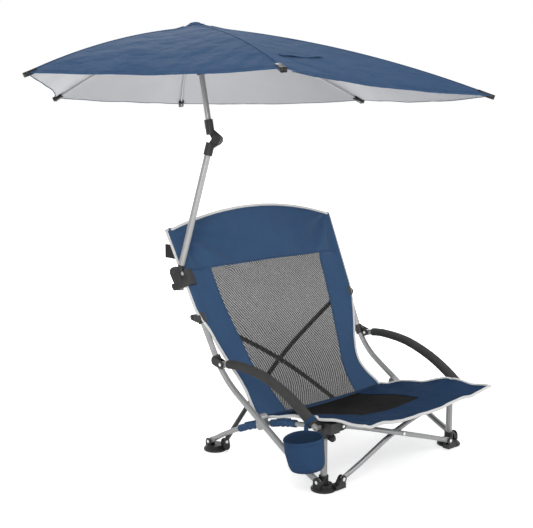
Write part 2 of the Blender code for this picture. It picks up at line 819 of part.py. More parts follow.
def make_front_foot(root, label, side):
    centre = Vector((side * FOOT_HALF_SPAN, 0.0, 0.0))
    post_pin = Vector((side * POST_PIVOT_X, 0.0, POST_PIVOT_Z))
    cross_pin = Vector((side * CROSS_FOOT_X, CROSS_Y, CROSS_FOOT_Z))
    outward, backward, upward = CROSS_LUG_STEP
    cross_root = Vector((side * (CROSS_FOOT_X + outward), CROSS_Y + backward, FOOT_RIM + upward))
    post_root = post_pin - Z_AXIS * (POST_PIVOT_Z - FOOT_RIM - POST_LUG_SINK)
    room = end_room(POST_RADIUS)
    cross_room = end_room(CROSS_RADIUS)
    inboard, outboard = sorted((-side * SLOT_RUN_ASIDE, side * cross_room))
    joins = [
        rod(centre + Z_AXIS * FOOT_RIM, centre + Z_AXIS * SOCKET_TOP, SOCKET_RADIUS),
        fork_lug(post_pin, post_root, X_AXIS, POST_RADIUS),
        fork_lug(cross_pin, cross_root, Y_AXIS, CROSS_RADIUS, CROSS_LUG_RADIUS),
        mirrored_block(
            side,
            (FOOT_WEB_INNER_X, CROSS_Y - FOOT_WEB_FRONT, FOOT_WEB_LOW),
            (FOOT_WEB_OUTER_X, CROSS_Y + FOOT_WEB_BACK, FOOT_WEB_TOP),
        ),
    ]
    cuts = [
        rod(
            centre + Z_AXIS * SOCKET_FLOOR,
            centre + Z_AXIS * (SOCKET_TOP + CUT_RUN),
            LEG_RADIUS + SOCKET_SLACK,
        ),
        fork_slot(post_pin, X_AXIS, POST_RADIUS, (-room, -room), (SLOT_RUN_ASIDE, SLOT_RUN_UP)),
        fork_slot(cross_pin, Y_AXIS, CROSS_RADIUS, (inboard, -cross_room), (outboard, SLOT_RUN_UP)),
    ]
    item = make_piece(root, f"foot_front_{label}", "plastic", centre, foot_disc(centre), joins, cuts)
    add_late_joins(
        root, item, centre,
        [fork_pin(post_pin, X_AXIS, POST_RADIUS), fork_pin(cross_pin, Y_AXIS, CROSS_RADIUS)],
    )


def add_late_joins(root, item, origin, shapes):
    """Joins made after the cuts, for pins that cross a slot."""
    for number, shape in enumerate(shapes):
        tool = make_object(f"{item.name}_pin_{number}", shape, origin, root)
        tool.hide_render = True
        tool.display_type = "WIRE"
        modifier = item.modifiers.new(tool.name, "BOOLEAN")
        modifier.operation = "UNION"
        modifier.solver = "EXACT"
        modifier.object = tool


def leaning_slot(pin, side, low, high):
    """The slot of a fork in the rear cross's plane, from low to high offsets outward and up."""
    outline = ((low[0], low[1]), (high[0], low[1]), (high[0], high[1]), (low[0], high[1]))
    return prism(outline, pin, X_AXIS * side, rear_plane_up(), 2.0 * fork_half(REAR_RADIUS))


def make_rear_foot(root, label, side):
    centre = Vector((side * FOOT_HALF_SPAN, FOOT_DEPTH, 0.0))
    side_pin = Vector((side * SIDE_REAR[0], SIDE_REAR[1], SIDE_REAR[2]))
    rear_pin = Vector((side * REAR_FOOT_X, REAR_FOOT_Y, REAR_FOOT_Z))
    normal = rear_normal()
    side_half = fork_half(SIDE_RADIUS) + SIDE_SLACK
    side_lug = strap(
        side_pin,
        side_pin - Z_AXIS * (SIDE_REAR[2] - FOOT_RIM - SIDE_LUG_SINK),
        SIDE_RADIUS * FLAT_WIDE_SHARE + EAR_MARGIN,
        SIDE_RADIUS * FLAT_WIDE_SHARE + EAR_MARGIN,
        X_AXIS,
        2.0 * (side_half + EAR),
    )
    side_room = end_room(SIDE_RADIUS)
    side_slot = block(
        (side_pin.x - side_half, side_pin.y - SIDE_SLOT_RUN, side_pin.z - side_room),
        (side_pin.x + side_half, side_pin.y + side_room, side_pin.z + SLOT_RUN_UP),
    )
    rear_root = rear_pin - rear_plane_up() * REAR_LUG_DROP
    rear_room = end_room(REAR_RADIUS)
    joins = [side_lug, fork_lug(rear_pin, rear_root, normal, REAR_RADIUS)]
    rear_slot = leaning_slot(rear_pin, side, (-SLOT_RUN_UP, -rear_room), (rear_room, SLOT_RUN_UP))
    cuts = [side_slot, rear_slot]
    item = make_piece(root, f"foot_rear_{label}", "plastic", side_pin, foot_disc(centre), joins, cuts)
    side_end = X_AXIS * (side_half + EAR)
    rear_end = normal * (fork_half(REAR_RADIUS) + EAR)
    pins = [rivet(side_pin - side_end, side_pin + side_end)]
    if side < 0.0:
        pins.append(rivet(rear_pin - rear_end, rear_pin + rear_end))
    else:
        inner = normal * (fork_half(REAR_RADIUS) + EAR * 0.4)
        pins += [rivet(rear_pin + inner * way, rear_pin + rear_end * way) for way in (-1.0, 1.0)]
    add_late_joins(root, item, side_pin, pins)


# Frame tubes


def post_shape(side, slack=0.0):
    return tube(post_route(side), POST_RADIUS + slack, X_AXIS, flat_start=True)


def make_post(root, label, side):
    route = post_route(side)
    pivot = route.at(0.0)
    shape = post_shape(side)
    screw = Vector((side * SIDE_PIVOT[0], SIDE_PIVOT[1], post_height_at(side, SIDE_PIVOT[1])))
    screw_end = Vector((side * (POST_KNEE_X - SCREW_HOLE_ROOM), screw.y, screw.z))
    cuts = [pin_hole(pivot, X_AXIS), rod(screw, screw_end, SCREW_HOLE_RADIUS, PIN_SIDES)]
    make_piece(root, f"post_{label}", "tube", pivot, shape, cuts=cuts)


def post_height_at(side, depth):
    """The post's height where it passes a given depth."""
    route = post_route(side)
    low, high = 0.0, route.length
    for _ in range(40):
        middle = (low + high) / 2.0
        if route.at(middle).y < depth:
            low = middle
        else:
            high = middle
    return route.at(low).z


def make_leg(root, label, side):
    bottom = Vector((side * FOOT_HALF_SPAN, 0.0, SOCKET_FLOOR + GAP))
    top = Vector((side * FOOT_HALF_SPAN, 0.0, LEG_TOP))
    route = Route([bottom, top])
    make_piece(root, f"leg_front_{label}", "tube", bottom, tube(route, LEG_RADIUS, X_AXIS))


def make_cross(root, label, side):
    route = cross_route(side)
    pivot = route.at(0.0)
    shape = tube(route, CROSS_RADIUS, Y_AXIS, flat_start=True, flat_end=True)
    middle = Vector((0.0, CROSS_Y, CROSS_MIDDLE_Z))
    holes = [pin_hole(route.at(0.0), Y_AXIS), pin_hole(route.at(route.length), Y_AXIS)]
    holes.append(pin_hole(middle, Y_AXIS, reach=CROSSING_HOLE_REACH))
    make_piece(root, f"front_cross_{label}", "tube", pivot, shape, cuts=holes)


def make_side_tube(root, label, side):
    route = side_route(side)
    pivot = route.at(0.0)
    front = route.at(route.length)
    shape = tube(route, SIDE_RADIUS, X_AXIS, flat_start=True, flat_end=True)
    tip = side * (BRACKET_INNER_X + SLOT_DEPTH - SLOT_PIN_ROOM)
    pin = rod(front, Vector((tip, front.y, front.z)), SLOT_PIN, PIN_SIDES)
    holes = [
        pin_hole(pivot, X_AXIS),
        pin_hole(Vector((side * SIDE_PIVOT[0], SIDE_PIVOT[1], SIDE_PIVOT[2])), X_AXIS),
    ]
    make_piece(root, f"side_tube_{label}", "tube", front, shape, joins=[pin], cuts=holes)


def make_side_pivot(root, label, side):
    """The block that holds the side tube just below the post, with its own rivet."""
    pivot = Vector((side * SIDE_PIVOT[0], SIDE_PIVOT[1], SIDE_PIVOT[2]))
    height = post_height_at(side, SIDE_PIVOT[1])
    inner = SIDE_PIVOT[0] + SIDE_RADIUS + SIDE_SLACK
    outer = POST_KNEE_X - PIVOT_BLOCK_ROOM
    middle_x = side * (inner + outer) / 2.0
    low = Vector((middle_x, pivot.y, pivot.z))
    high = Vector((middle_x, pivot.y, height + PIVOT_BLOCK_RISE))
    half_width = PIVOT_BLOCK_WIDTH / 2.0
    shape = strap(low, high, half_width, PIVOT_BLOCK_TOP_RADIUS, X_AXIS, outer - inner)
    start = Vector((side * (SIDE_PIVOT[0] - SIDE_RADIUS - SIDE_SLACK), pivot.y, pivot.z))
    stop = Vector((side * (inner + PIVOT_RIVET_SINK), pivot.y, pivot.z))
    screw_start = Vector((side * (inner + PIVOT_SCREW_SINK), pivot.y, height))
    screw_end = Vector((side * (POST_KNEE_X - PIVOT_SCREW_ROOM), pivot.y, height))
    screw = rod(screw_start, screw_end, PIVOT_SCREW_RADIUS, PIN_SIDES)
    item = make_piece(
        root, f"side_pivot_{label}", "tube", pivot, shape, cuts=[post_shape(side, GAP)],
    )
    head = turned(
        (
            (-HEAD_HEIGHT, HEAD_RADIUS * 0.7),
            (-HEAD_HEIGHT * 0.4, HEAD_RADIUS),
            (0.0, HEAD_RADIUS),
            (0.0, PIN_RADIUS),
            ((stop - start).length, PIN_RADIUS),
        ),
        start,
        stop - start,
        PIN_SIDES,
    )
    add_late_joins(root, item, pivot, [head, screw])


def make_rear_cross(root, label, side):
    route = rear_route(side)
    pivot = route.at(0.0)
    normal = rear_normal()
    shape = tube(route, REAR_RADIUS, normal, flat_start=True, flat_end=True)
    crossing = pin_hole(rear_middle(), normal, reach=CROSSING_HOLE_REACH)
    holes = [pin_hole(pivot, normal), crossing]
    top = route.at(route.length)
    ball = turned(
        [(-REAR_BALL * math.cos(turn), REAR_BALL * math.sin(turn)) for turn in BALL_TURNS],
        top, X_AXIS, TUBE_SIDES,
    )
    make_piece(root, f"rear_cross_{label}", "tube", pivot, shape, joins=[ball], cuts=holes)


BALL_TURNS = tuple(math.radians(turn) for turn in (14.0, 45.0, 75.0, 105.0, 135.0, 166.0))


def rear_plane_up():
    return Vector((0.0, REAR_TOP_Y - REAR_FOOT_Y, REAR_TOP_Z - REAR_FOOT_Z)).normalized()


def make_cross_rivet(root, name, middle, axis, bow, radius):
    """The rivet through two crossing tubes, with a spacer between them."""
    half = bow + radius + GAP
    spacer = bow - radius - GAP
    profile = (
        (-half - HEAD_HEIGHT, HEAD_RADIUS * 0.7),
        (-half - HEAD_HEIGHT * 0.4, HEAD_RADIUS),
        (-half, HEAD_RADIUS),
        (-half, PIN_RADIUS),
        (-spacer, PIN_RADIUS),
        (-spacer, radius * 0.9),
        (spacer, radius * 0.9),
        (spacer, PIN_RADIUS),
        (half, PIN_RADIUS),
        (half, HEAD_RADIUS),
        (half + HEAD_HEIGHT * 0.4, HEAD_RADIUS),
        (half + HEAD_HEIGHT, HEAD_RADIUS * 0.7),
    )
    make_piece(root, name, "rivet", middle, turned(profile, middle, axis, PIN_SIDES))


# Front brackets


def make_bracket(root, label, side):
    leg = Vector((side * FOOT_HALF_SPAN, 0.0, LEG_TOP))
    cross_pin = Vector((side * CROSS_TOP_X, CROSS_Y, CROSS_TOP_Z))
    cross_root = cross_pin + X_AXIS * (side * BRACKET_LUG_RUN)
    room = end_room(CROSS_RADIUS)
    inboard, outboard = sorted((-side * SLOT_RUN_ASIDE, side * room))
    front = Vector((side * SIDE_FRONT[0], SIDE_FRONT[1], SIDE_FRONT[2]))
    slot_run = Vector((0.0, -math.cos(SLOT_SLOPE), -math.sin(SLOT_SLOPE))) * SLOT_LENGTH
    slot_x = side * (BRACKET_INNER_X + SLOT_DEPTH / 2.0 - SLOT_OPENING)
    slot_start = Vector((slot_x, front.y, front.z))
    cheek_start = Vector((side * (BRACKET_INNER_X + CHEEK / 2.0), front.y, front.z))
    cheek = strap(cheek_start, cheek_start + slot_run, CHEEK_HALF, CHEEK_HALF, X_AXIS, CHEEK)
    slot_width = SLOT_DEPTH + SLOT_OPENING * 2.0
    slot = strap(slot_start, slot_start + slot_run, SLOT_HALF, SLOT_HALF, X_AXIS, slot_width)
    arm_end = arm_route(side).at(arm_route(side).length)
    boss_start = Vector((side * BOSS_ROOT_X, arm_end.y, arm_end.z))
    boss_end = Vector((side * (ARM_PEG_X - GAP), arm_end.y, arm_end.z))
    boss = rod(boss_start, boss_end, BOSS_RADIUS)
    shape = mirrored_block(
        side,
        (BRACKET_INNER_X, -BRACKET_BACK, BRACKET_BOTTOM),
        (BRACKET_OUTER_X, BRACKET_BACK, BRACKET_TOP),
    )
    arm = mirrored_block(
        side,
        (BRACKET_INNER_X - BRACKET_ARM_INSET, BRACKET_FRONT, CROSS_TOP_Z - BRACKET_ARM_DROP),
        (BRACKET_OUTER_X, -BRACKET_BACK + BRACKET_ARM_LAP, BRACKET_TOP),
    )
    joins = [arm, fork_lug(cross_pin, cross_root, Y_AXIS, CROSS_RADIUS), cheek, boss]
    cuts = [
        rod(leg - Z_AXIS * LEG_BORE_RUN, leg + Z_AXIS * GAP, LEG_RADIUS + GAP),
        fork_slot(cross_pin, Y_AXIS, CROSS_RADIUS, (inboard, -BRACKET_SLOT_RUN), (outboard, room)),
        slot,
    ]
    item = make_piece(root, f"bracket_front_{label}", "plastic", cross_pin, shape, joins, cuts)
    add_late_joins(root, item, cross_pin, [fork_pin(cross_pin, Y_AXIS, CROSS_RADIUS)])


# Clips on the posts


def post_collar(route, distance, length):
    """A short sleeve round a post, uncut."""
    start = route.at(distance - length / 2.0)
    end = route.at(distance + length / 2.0)
    return rod(start, end, CLIP_RADIUS)


def make_rear_clip(root, label, side):
    """A clip on the post, with a cheek outboard of the rear tube's ball end."""
    route = post_route(side)
    pin = Vector((side * REAR_TOP_X, REAR_TOP_Y, REAR_TOP_Z))
    distance = distance_at_height(route, REAR_TOP_Z)
    centre = route.at(distance)
    inner = REAR_TOP_X + REAR_BALL + REAR_BALL_ROOM
    cheek_middle = side * (inner + REAR_CHEEK / 2.0)
    cheek = strap(
        Vector((cheek_middle, centre.y, centre.z)), Vector((cheek_middle, pin.y, pin.z)),
        REAR_CHEEK_ROOT, REAR_CHEEK_TIP, X_AXIS, REAR_CHEEK,
    )
    head = rivet(
        Vector((side * (inner + REAR_CHEEK - REAR_HEAD_SINK), pin.y, pin.z)),
        Vector((side * (inner + REAR_CHEEK), pin.y, pin.z)),
    )
    make_piece(
        root, f"rear_clip_{label}", "plastic", centre,
        post_collar(route, distance, REAR_CLIP_LENGTH),
        joins=[cheek, head],
        cuts=[post_shape(side, GAP)],
    )


def make_arm_clip(root, label, side):
    route = post_route(side)
    pin = Vector((side * ARM_X, *ARM_PIVOT))
    distance = distance_at_height(route, ARM_PIVOT[1] + ARM_CLIP_RISE)
    centre = route.at(distance)
    lug = strap(
        pin,
        Vector((side * ARM_X, centre.y, centre.z)),
        ARM_RADIUS * FLAT_WIDE_SHARE + EAR_MARGIN,
        ARM_CLIP_LUG_ROOT,
        X_AXIS,
        2.0 * (fork_half(ARM_RADIUS) + EAR),
    )
    room = end_room(ARM_RADIUS)
    low = (-ARM_SLOT_RUN, -ARM_SLOT_RUN)
    slot = fork_slot(pin, X_AXIS, ARM_RADIUS, low, (room, room + ARM_SLOT_ROOM))
    item = make_piece(
        root, f"arm_clip_{label}", "plastic", pin,
        post_collar(route, distance, ARM_CLIP_LENGTH),
        joins=[lug],
        cuts=[slot, post_shape(side, GAP)],
    )
    add_late_joins(root, item, pin, [fork_pin(pin, X_AXIS, ARM_RADIUS)])


# Arms and cup holder


def make_arm(root, label, side):
    route = arm_route(side)
    pivot = route.at(0.0)
    shape = tube(route, ARM_RADIUS, X_AXIS, flat_start=True)
    front = route.at(route.length)
    nose = turned(
        [(-ARM_RADIUS * math.cos(turn), ARM_RADIUS * math.sin(turn)) for turn in BALL_TURNS],
        front, route.heading(route.length), TUBE_SIDES,
    )
    peg_end = Vector((side * ARM_PEG_X, front.y, front.z))
    peg = rod(peg_end, Vector((side * ARM_X, front.y, front.z)), ARM_PEG_RADIUS)
    make_piece(
        root, f"arm_tube_{label}", "tube", pivot, shape,
        joins=[peg, nose],
        cuts=[pin_hole(pivot, X_AXIS)],
    )


def grip_radius(share):
    low, high = GRIP_SPAN_SHARES
    along = (share - low) / (high - low)
    return GRIP_REAR_RADIUS + (GRIP_FRONT_RADIUS - GRIP_REAR_RADIUS) * along


def make_grip(root, label, side):
    route = arm_route(side)
    pivot = route.at(0.0)
    low, high = GRIP_SPAN_SHARES
    rings = []
    for distance in route.knots(low * route.length, high * route.length):
        place, first, second = route.frame(distance, X_AXIS)
        radius = grip_radius(distance / route.length)
        rings.append((place, first * radius, second * radius))
    bore = []
    for distance in route.knots(low * route.length - CUT_RUN, high * route.length + CUT_RUN):
        place, first, second = route.frame(distance, X_AXIS)
        bore.append((place, first * (ARM_RADIUS + GAP * 2.0), second * (ARM_RADIUS + GAP * 2.0)))
    make_piece(
        root, f"arm_grip_{label}", "foam", pivot,
        skin_rings(rings, 14),
        cuts=[skin_rings(bore, TUBE_SIDES)],
    )


def make_cup_holder(root):
    route = arm_route(-1.0)
    pivot = route.at(0.0)
    base = Vector((CUP_X, CUP_Y, CUP_BASE_Z))
    height = CUP_RIM_Z - CUP_BASE_Z
    outer = turned(((0.0, CUP_BASE_RADIUS), (height, CUP_RIM_RADIUS)), base, Z_AXIS, 28)
    inner = turned(
        (
            (CUP_FLOOR, CUP_BASE_RADIUS - CUP_WALL),
            (height + CUT_RUN, CUP_RIM_RADIUS - CUP_WALL + CUP_LIP_FLARE),
        ),
        base, Z_AXIS, 28,
    )
    distance = CUP_LOOP_SHARE * route.length
    ahead = route.heading(distance) * (CUP_LOOP_LENGTH / 2.0)
    middle = route.at(distance)
    grip = grip_radius(CUP_LOOP_SHARE)
    loop = rod(middle - ahead, middle + ahead, grip + CUP_LOOP_CLEAR + CUP_WALL)
    bore = rod(middle - ahead * 3.0, middle + ahead * 3.0, grip + CUP_LOOP_CLEAR)
    side_wall = middle - X_AXIS * (grip + CUP_LOOP_CLEAR + CUP_WALL * 0.75) - Z_AXIS * CUP_TAB_DROP
    outward = Vector((side_wall.x - CUP_X, side_wall.y - CUP_Y, 0.0)).normalized()
    wall = Vector((CUP_X, CUP_Y, CUP_RIM_Z - CUP_TAB_DEPTH)) + outward * (CUP_RIM_RADIUS - CUP_WALL)
    tab = strap(side_wall, wall, CUP_TAB_HALF, CUP_TAB_HALF, outward.cross(Z_AXIS), CUP_TAB_THICKNESS)
    make_piece(root, "cup_holder", "navy", pivot, outer, joins=[loop, tab], cuts=[inner, bore])


# Cloth


def slab(points, keep, thickness, wrap=False):
    """A closed sheet on a grid of points, with the cells that keep() refuses left open."""
    rows = len(points)
    columns = len(points[0])
    shape = bmesh.new()
    last_column = columns if wrap else columns - 1
    normals = grid_normals(points, wrap)
    used = {}

    def corner(row, column, layer):
        column %= columns
        key = (row, column, layer)
        if key not in used:
            offset = normals[row][column] * (thickness * (0.5 - layer))
            used[key] = shape.verts.new(points[row][column] + offset)
        return used[key]

    cells = [(r, c) for r in range(rows - 1) for c in range(last_column) if keep(r, c)]
    kept = set(cells)
    for row, column in cells:
        loop = ((row, column), (row, column + 1), (row + 1, column + 1), (row + 1, column))
        shape.faces.new([corner(r, c, 0) for r, c in loop])
        shape.faces.new([corner(r, c, 1) for r, c in reversed(loop)])
        neighbours = ((row - 1, column), (row, column + 1), (row + 1, column), (row, column - 1))
        for side, (near_row, near_column) in enumerate(neighbours):
            if wrap:
                near_column %= columns
            if (near_row, near_column) in kept:
                continue
            a, b = loop[side], loop[(side + 1) % 4]
            shape.faces.new((corner(*a, 0), corner(*a, 1), corner(*b, 1), corner(*b, 0)))
    return shape


def grid_normals(points, wrap):
    rows = len(points)
    columns = len(points[0])
    normals = []
    for row in range(rows):
        line = []
        for column in range(columns):
            up = points[min(row + 1, rows - 1)][column] - points[max(row - 1, 0)][column]
            if wrap:
                right, left = (column + 1) % columns, (column - 1) % columns
            else:
                right, left = min(column + 1, columns - 1), max(column - 1, 0)
            across = points[row][right] - points[row][left]
            line.append(across.cross(up).normalized())
        normals.append(line)
    return normals


BAND_STEPS = (1.0, 0.75, 0.4)
WINDOW_STEPS = (1.0, 0.5, 0.0, -0.5, -1.0)


def band_widths(edge, window):
    """X values across the sling, from its left edge to its right, with the window's edges in it."""
    outer = [window + (edge - window) * step for step in BAND_STEPS]
    inner = [window * step for step in WINDOW_STEPS]
    return outer + inner + [-width for width in reversed(outer)]


def back_point(row, width):
    """A point of the back at one row, at a signed distance from the middle."""
    height, depth, edge_depth, edge, _, crown = BACK_ROW_SHARES[row]
    share = width / (edge * SLING_HALF_WIDTH)
    y = (depth + (edge_depth - depth) * share**4) * SLING_DEPTH
    z = (height + crown * (1.0 - share**2)) * SLING_TOP
    return Vector((width, y, z))


def back_grid():
    rows = []
    for number, values in enumerate(BACK_ROW_SHARES):
        widths = band_widths(values[3] * SLING_HALF_WIDTH, values[4] * SLING_HALF_WIDTH)
        rows.append([back_point(number, width) for width in widths])
    return rows


def seat_point(row, width):
    depth, height, edge_depth, edge_height, edge, _ = SEAT_ROW_SHARES[row]
    share = width / (edge * SLING_HALF_WIDTH)
    y = (depth + (edge_depth - depth) * share**2) * SEAT_REACH
    z = (height + (edge_height - height) * abs(share) ** SEAT_CURVE) * SEAT_HEIGHT
    return Vector((width, y, z))


def seat_grid():
    rows = []
    for number, values in enumerate(SEAT_ROW_SHARES):
        widths = band_widths(values[4] * SLING_HALF_WIDTH, values[5] * SLING_HALF_WIDTH)
        rows.append([seat_point(number, width) for width in widths])
    return rows


def in_window(column):
    first = len(BAND_STEPS)
    return first <= column < first + len(WINDOW_STEPS) - 1


def inset_grid(grid, first_row, last_row):
    """The window's own part of a sling grid, drawn in a little on every side."""
    start = len(BAND_STEPS)
    stop = start + len(WINDOW_STEPS)
    rows = [list(row[start:stop]) for row in grid[first_row:last_row + 1]]
    for row in rows:
        row[0] = row[0] + (row[1] - row[0]).normalized() * MESH_INSET
        row[-1] = row[-1] + (row[-2] - row[-1]).normalized() * MESH_INSET
    for end, inner in ((0, 1), (-1, -2)):
        rows[end] = [
            point + (other - point).normalized() * MESH_INSET
            for point, other in zip(rows[end], rows[inner])
        ]
    return rows


def make_back(root):
    origin = Vector((0.0, BACK_ROW_SHARES[0][1] * SLING_DEPTH, BACK_ROW_SHARES[0][0] * SLING_TOP))
    grid = back_grid()
    panel = slab(grid, lambda r, c: r >= WINDOW_TOP_ROW or not in_window(c), CLOTH)
    joins = []
    cuts = []
    for _, side in SIDES:
        route = post_route(side)
        for low, high in (MIDDLE_SLEEVE, TOP_SLEEVE):
            start = distance_at_height(route, low)
            end = min(distance_at_height(route, high), route.length)
            closed = high > POST_TOP[1]
            stop = end + (SLEEVE_CAP if closed else 0.0)
            wall = POST_RADIUS + SLEEVE_CLEAR + SLEEVE_WALL
            joins.append(rod(route.at(start), route.at(stop), wall))
            bore_start = route.at(start - CUT_RUN)
            bore_end = route.at(end + (SLEEVE_END_ROOM if closed else CUT_RUN))
            cuts.append(rod(bore_start, bore_end, POST_RADIUS + SLEEVE_CLEAR))
        clip = distance_at_height(route, REAR_TOP_Z)
        reach = REAR_CLIP_LENGTH / 2.0 + GAP * 3.0
        cuts.append(rod(route.at(clip - reach), route.at(clip + reach), CLIP_RADIUS + GAP * 2.0))
    cuts.append(clamp_envelope(GAP * 2.0))
    make_piece(root, "back_panel", "navy", origin, panel, joins, cuts)
    mesh = slab(inset_grid(grid, 0, WINDOW_TOP_ROW), lambda r, c: True, CLOTH)
    make_piece(root, "back_mesh", "mesh", origin, mesh)


def make_seat(root):
    origin = Vector((0.0, SEAT_REACH, SEAT_ROW_SHARES[0][1] * SEAT_HEIGHT))
    grid = seat_grid()
    panel = slab(grid, lambda r, c: r >= SEAT_WINDOW_ROW or not in_window(c), CLOTH)
    make_piece(root, "seat_panel", "navy", origin, panel)
    mesh = slab(inset_grid(grid, 0, SEAT_WINDOW_ROW), lambda r, c: True, CLOTH)
    make_piece(root, "seat_mesh", "black_mesh", origin, mesh)


def make_side_sleeve(root, label, side):
    """Two stretches of cloth round a side tube, joined by the strip that the seat hangs from."""
    route = side_route(side)
    origin = route.at(route.length)
    radius = SIDE_RADIUS + SLEEVE_CLEAR + SIDE_SLEEVE_WALL
    (first, second), (third, fourth) = SIDE_SLEEVE_SHARES
    rear = tube(sub_route(route, first, second), radius, X_AXIS)
    front = tube(sub_route(route, third, fourth), radius, X_AXIS)
    bored = sub_route(route, first - SIDE_BORE_RUN_SHARE, fourth + SIDE_BORE_RUN_SHARE)
    bore = tube(bored, SIDE_RADIUS + SLEEVE_CLEAR, X_AXIS)
    rings = []
    start = first * route.length + STRIP_INSET
    end = fourth * route.length - STRIP_INSET
    for distance in route.knots(start, end):
        place, across, up = route.frame(distance, X_AXIS)
        above = up if up.z > 0.0 else -up
        centre = place + above * (radius - STRIP_SINK)
        rings.append((centre, across * STRIP_HALF_WIDTH, above * STRIP_HALF_THICKNESS))
    strip = skin_rings(rings, 8)
    make_piece(root, f"side_sleeve_{label}", "navy", origin, rear, joins=[front, strip], cuts=[bore])


def sub_route(route, low, high):
    return Route([route.at(along) for along in route.knots(low * route.length, high * route.length)])


def make_tab(root):
    route = post_route(-1.0)
    place = route.at(distance_at_height(route, TAB_Z))
    radius = POST_RADIUS + SLEEVE_CLEAR + SLEEVE_WALL + GAP
    low = (place.x - TAB_THICKNESS / 2.0, place.y + radius, TAB_Z - TAB_HEIGHT / 2.0)
    high = (place.x + TAB_THICKNESS / 2.0, place.y + radius + TAB_REACH, TAB_Z + TAB_HEIGHT / 2.0)
    wall = rod(
        route.at(distance_at_height(route, TAB_Z - TAB_HEIGHT)),
        route.at(distance_at_height(route, TAB_Z + TAB_HEIGHT)),
        radius,
    )
    make_piece(root, "webbing_tab", "webbing", place, block(low, high), cuts=[wall])


# Sunshade directions and places


def shade_axes():
    """Unit vectors: the way the pole leans, and the axis it tilts on."""
    lean = Vector((math.cos(SHADE_BEARING), math.sin(SHADE_BEARING), 0.0))
    level = Vector((-lean.y, lean.x, 0.0))
    up = Z_AXIS * math.cos(SHADE_ROLL) + level * math.sin(SHADE_ROLL)
    axis = level * math.cos(SHADE_ROLL) - Z_AXIS * math.sin(SHADE_ROLL)
    return lean, up, axis


def lower_direction():
    lean, up, _ = shade_axes()
    return lean * math.sin(LOWER_LEAN) + up * math.cos(LOWER_LEAN)


def upper_direction():
    lean, up, _ = shade_axes()
    return lean * math.sin(UPPER_LEAN) + up * math.cos(UPPER_LEAN)


def shade_front():
    """The direction of the front rib, square to the upper pole."""
    lean, up, _ = shade_axes()
    return lean * math.cos(UPPER_LEAN) - up * math.sin(UPPER_LEAN)


def elbow_point():
    return Vector(POLE_FOOT) + lower_direction() * LOWER_LENGTH


def elbow_pivot():
    lean, _, _ = shade_axes()
    return elbow_point() + lean * ELBOW_OFFSET


def hub_point():
    return elbow_point() + upper_direction() * UPPER_LENGTH


def tilt_pivot():
    lean, _, _ = shade_axes()
    return Vector(POLE_FOOT) + lean * TILT_OFFSET + Z_AXIS * TILT_HEIGHT


def clamp_axes():
    """The post's direction at the clamp, the way out through the screw, and the third axis."""
    route = post_route(-1.0)
    along = route.heading(distance_at_height(route, CLAMP_Z))
    _, _, axis = shade_axes()
    aside = (axis - along * axis.dot(along)).normalized()
    out = along.cross(aside).normalized()
    lean, _, _ = shade_axes()
    if out.dot(lean) > 0.0:
        out = -out
    return along, out, aside


def clamp_block(centre, along, out, aside, low, high):
    """A box in the clamp's own directions: out, along the post, and aside."""
    outline = ((low[0], low[1]), (high[0], low[1]), (high[0], high[1]), (low[0], high[1]))
    middle = centre + aside * ((low[2] + high[2]) / 2.0)
    return prism(outline, middle, out, along, high[2] - low[2])


def clamp_envelope(slack):
    """The clamp's outer block, a little larger, for the cloth to be cut clear of."""
    route = post_route(-1.0)
    centre = route.at(distance_at_height(route, CLAMP_Z))
    along, out, aside = clamp_axes()
    half = CLAMP_HALF_HEIGHT + slack
    return clamp_block(
        centre, along, out, aside,
        (CLAMP_BACK - slack, -half, CLAMP_NEAR - slack), (CLAMP_FRONT + slack, half, CLAMP_FAR + slack),
    )


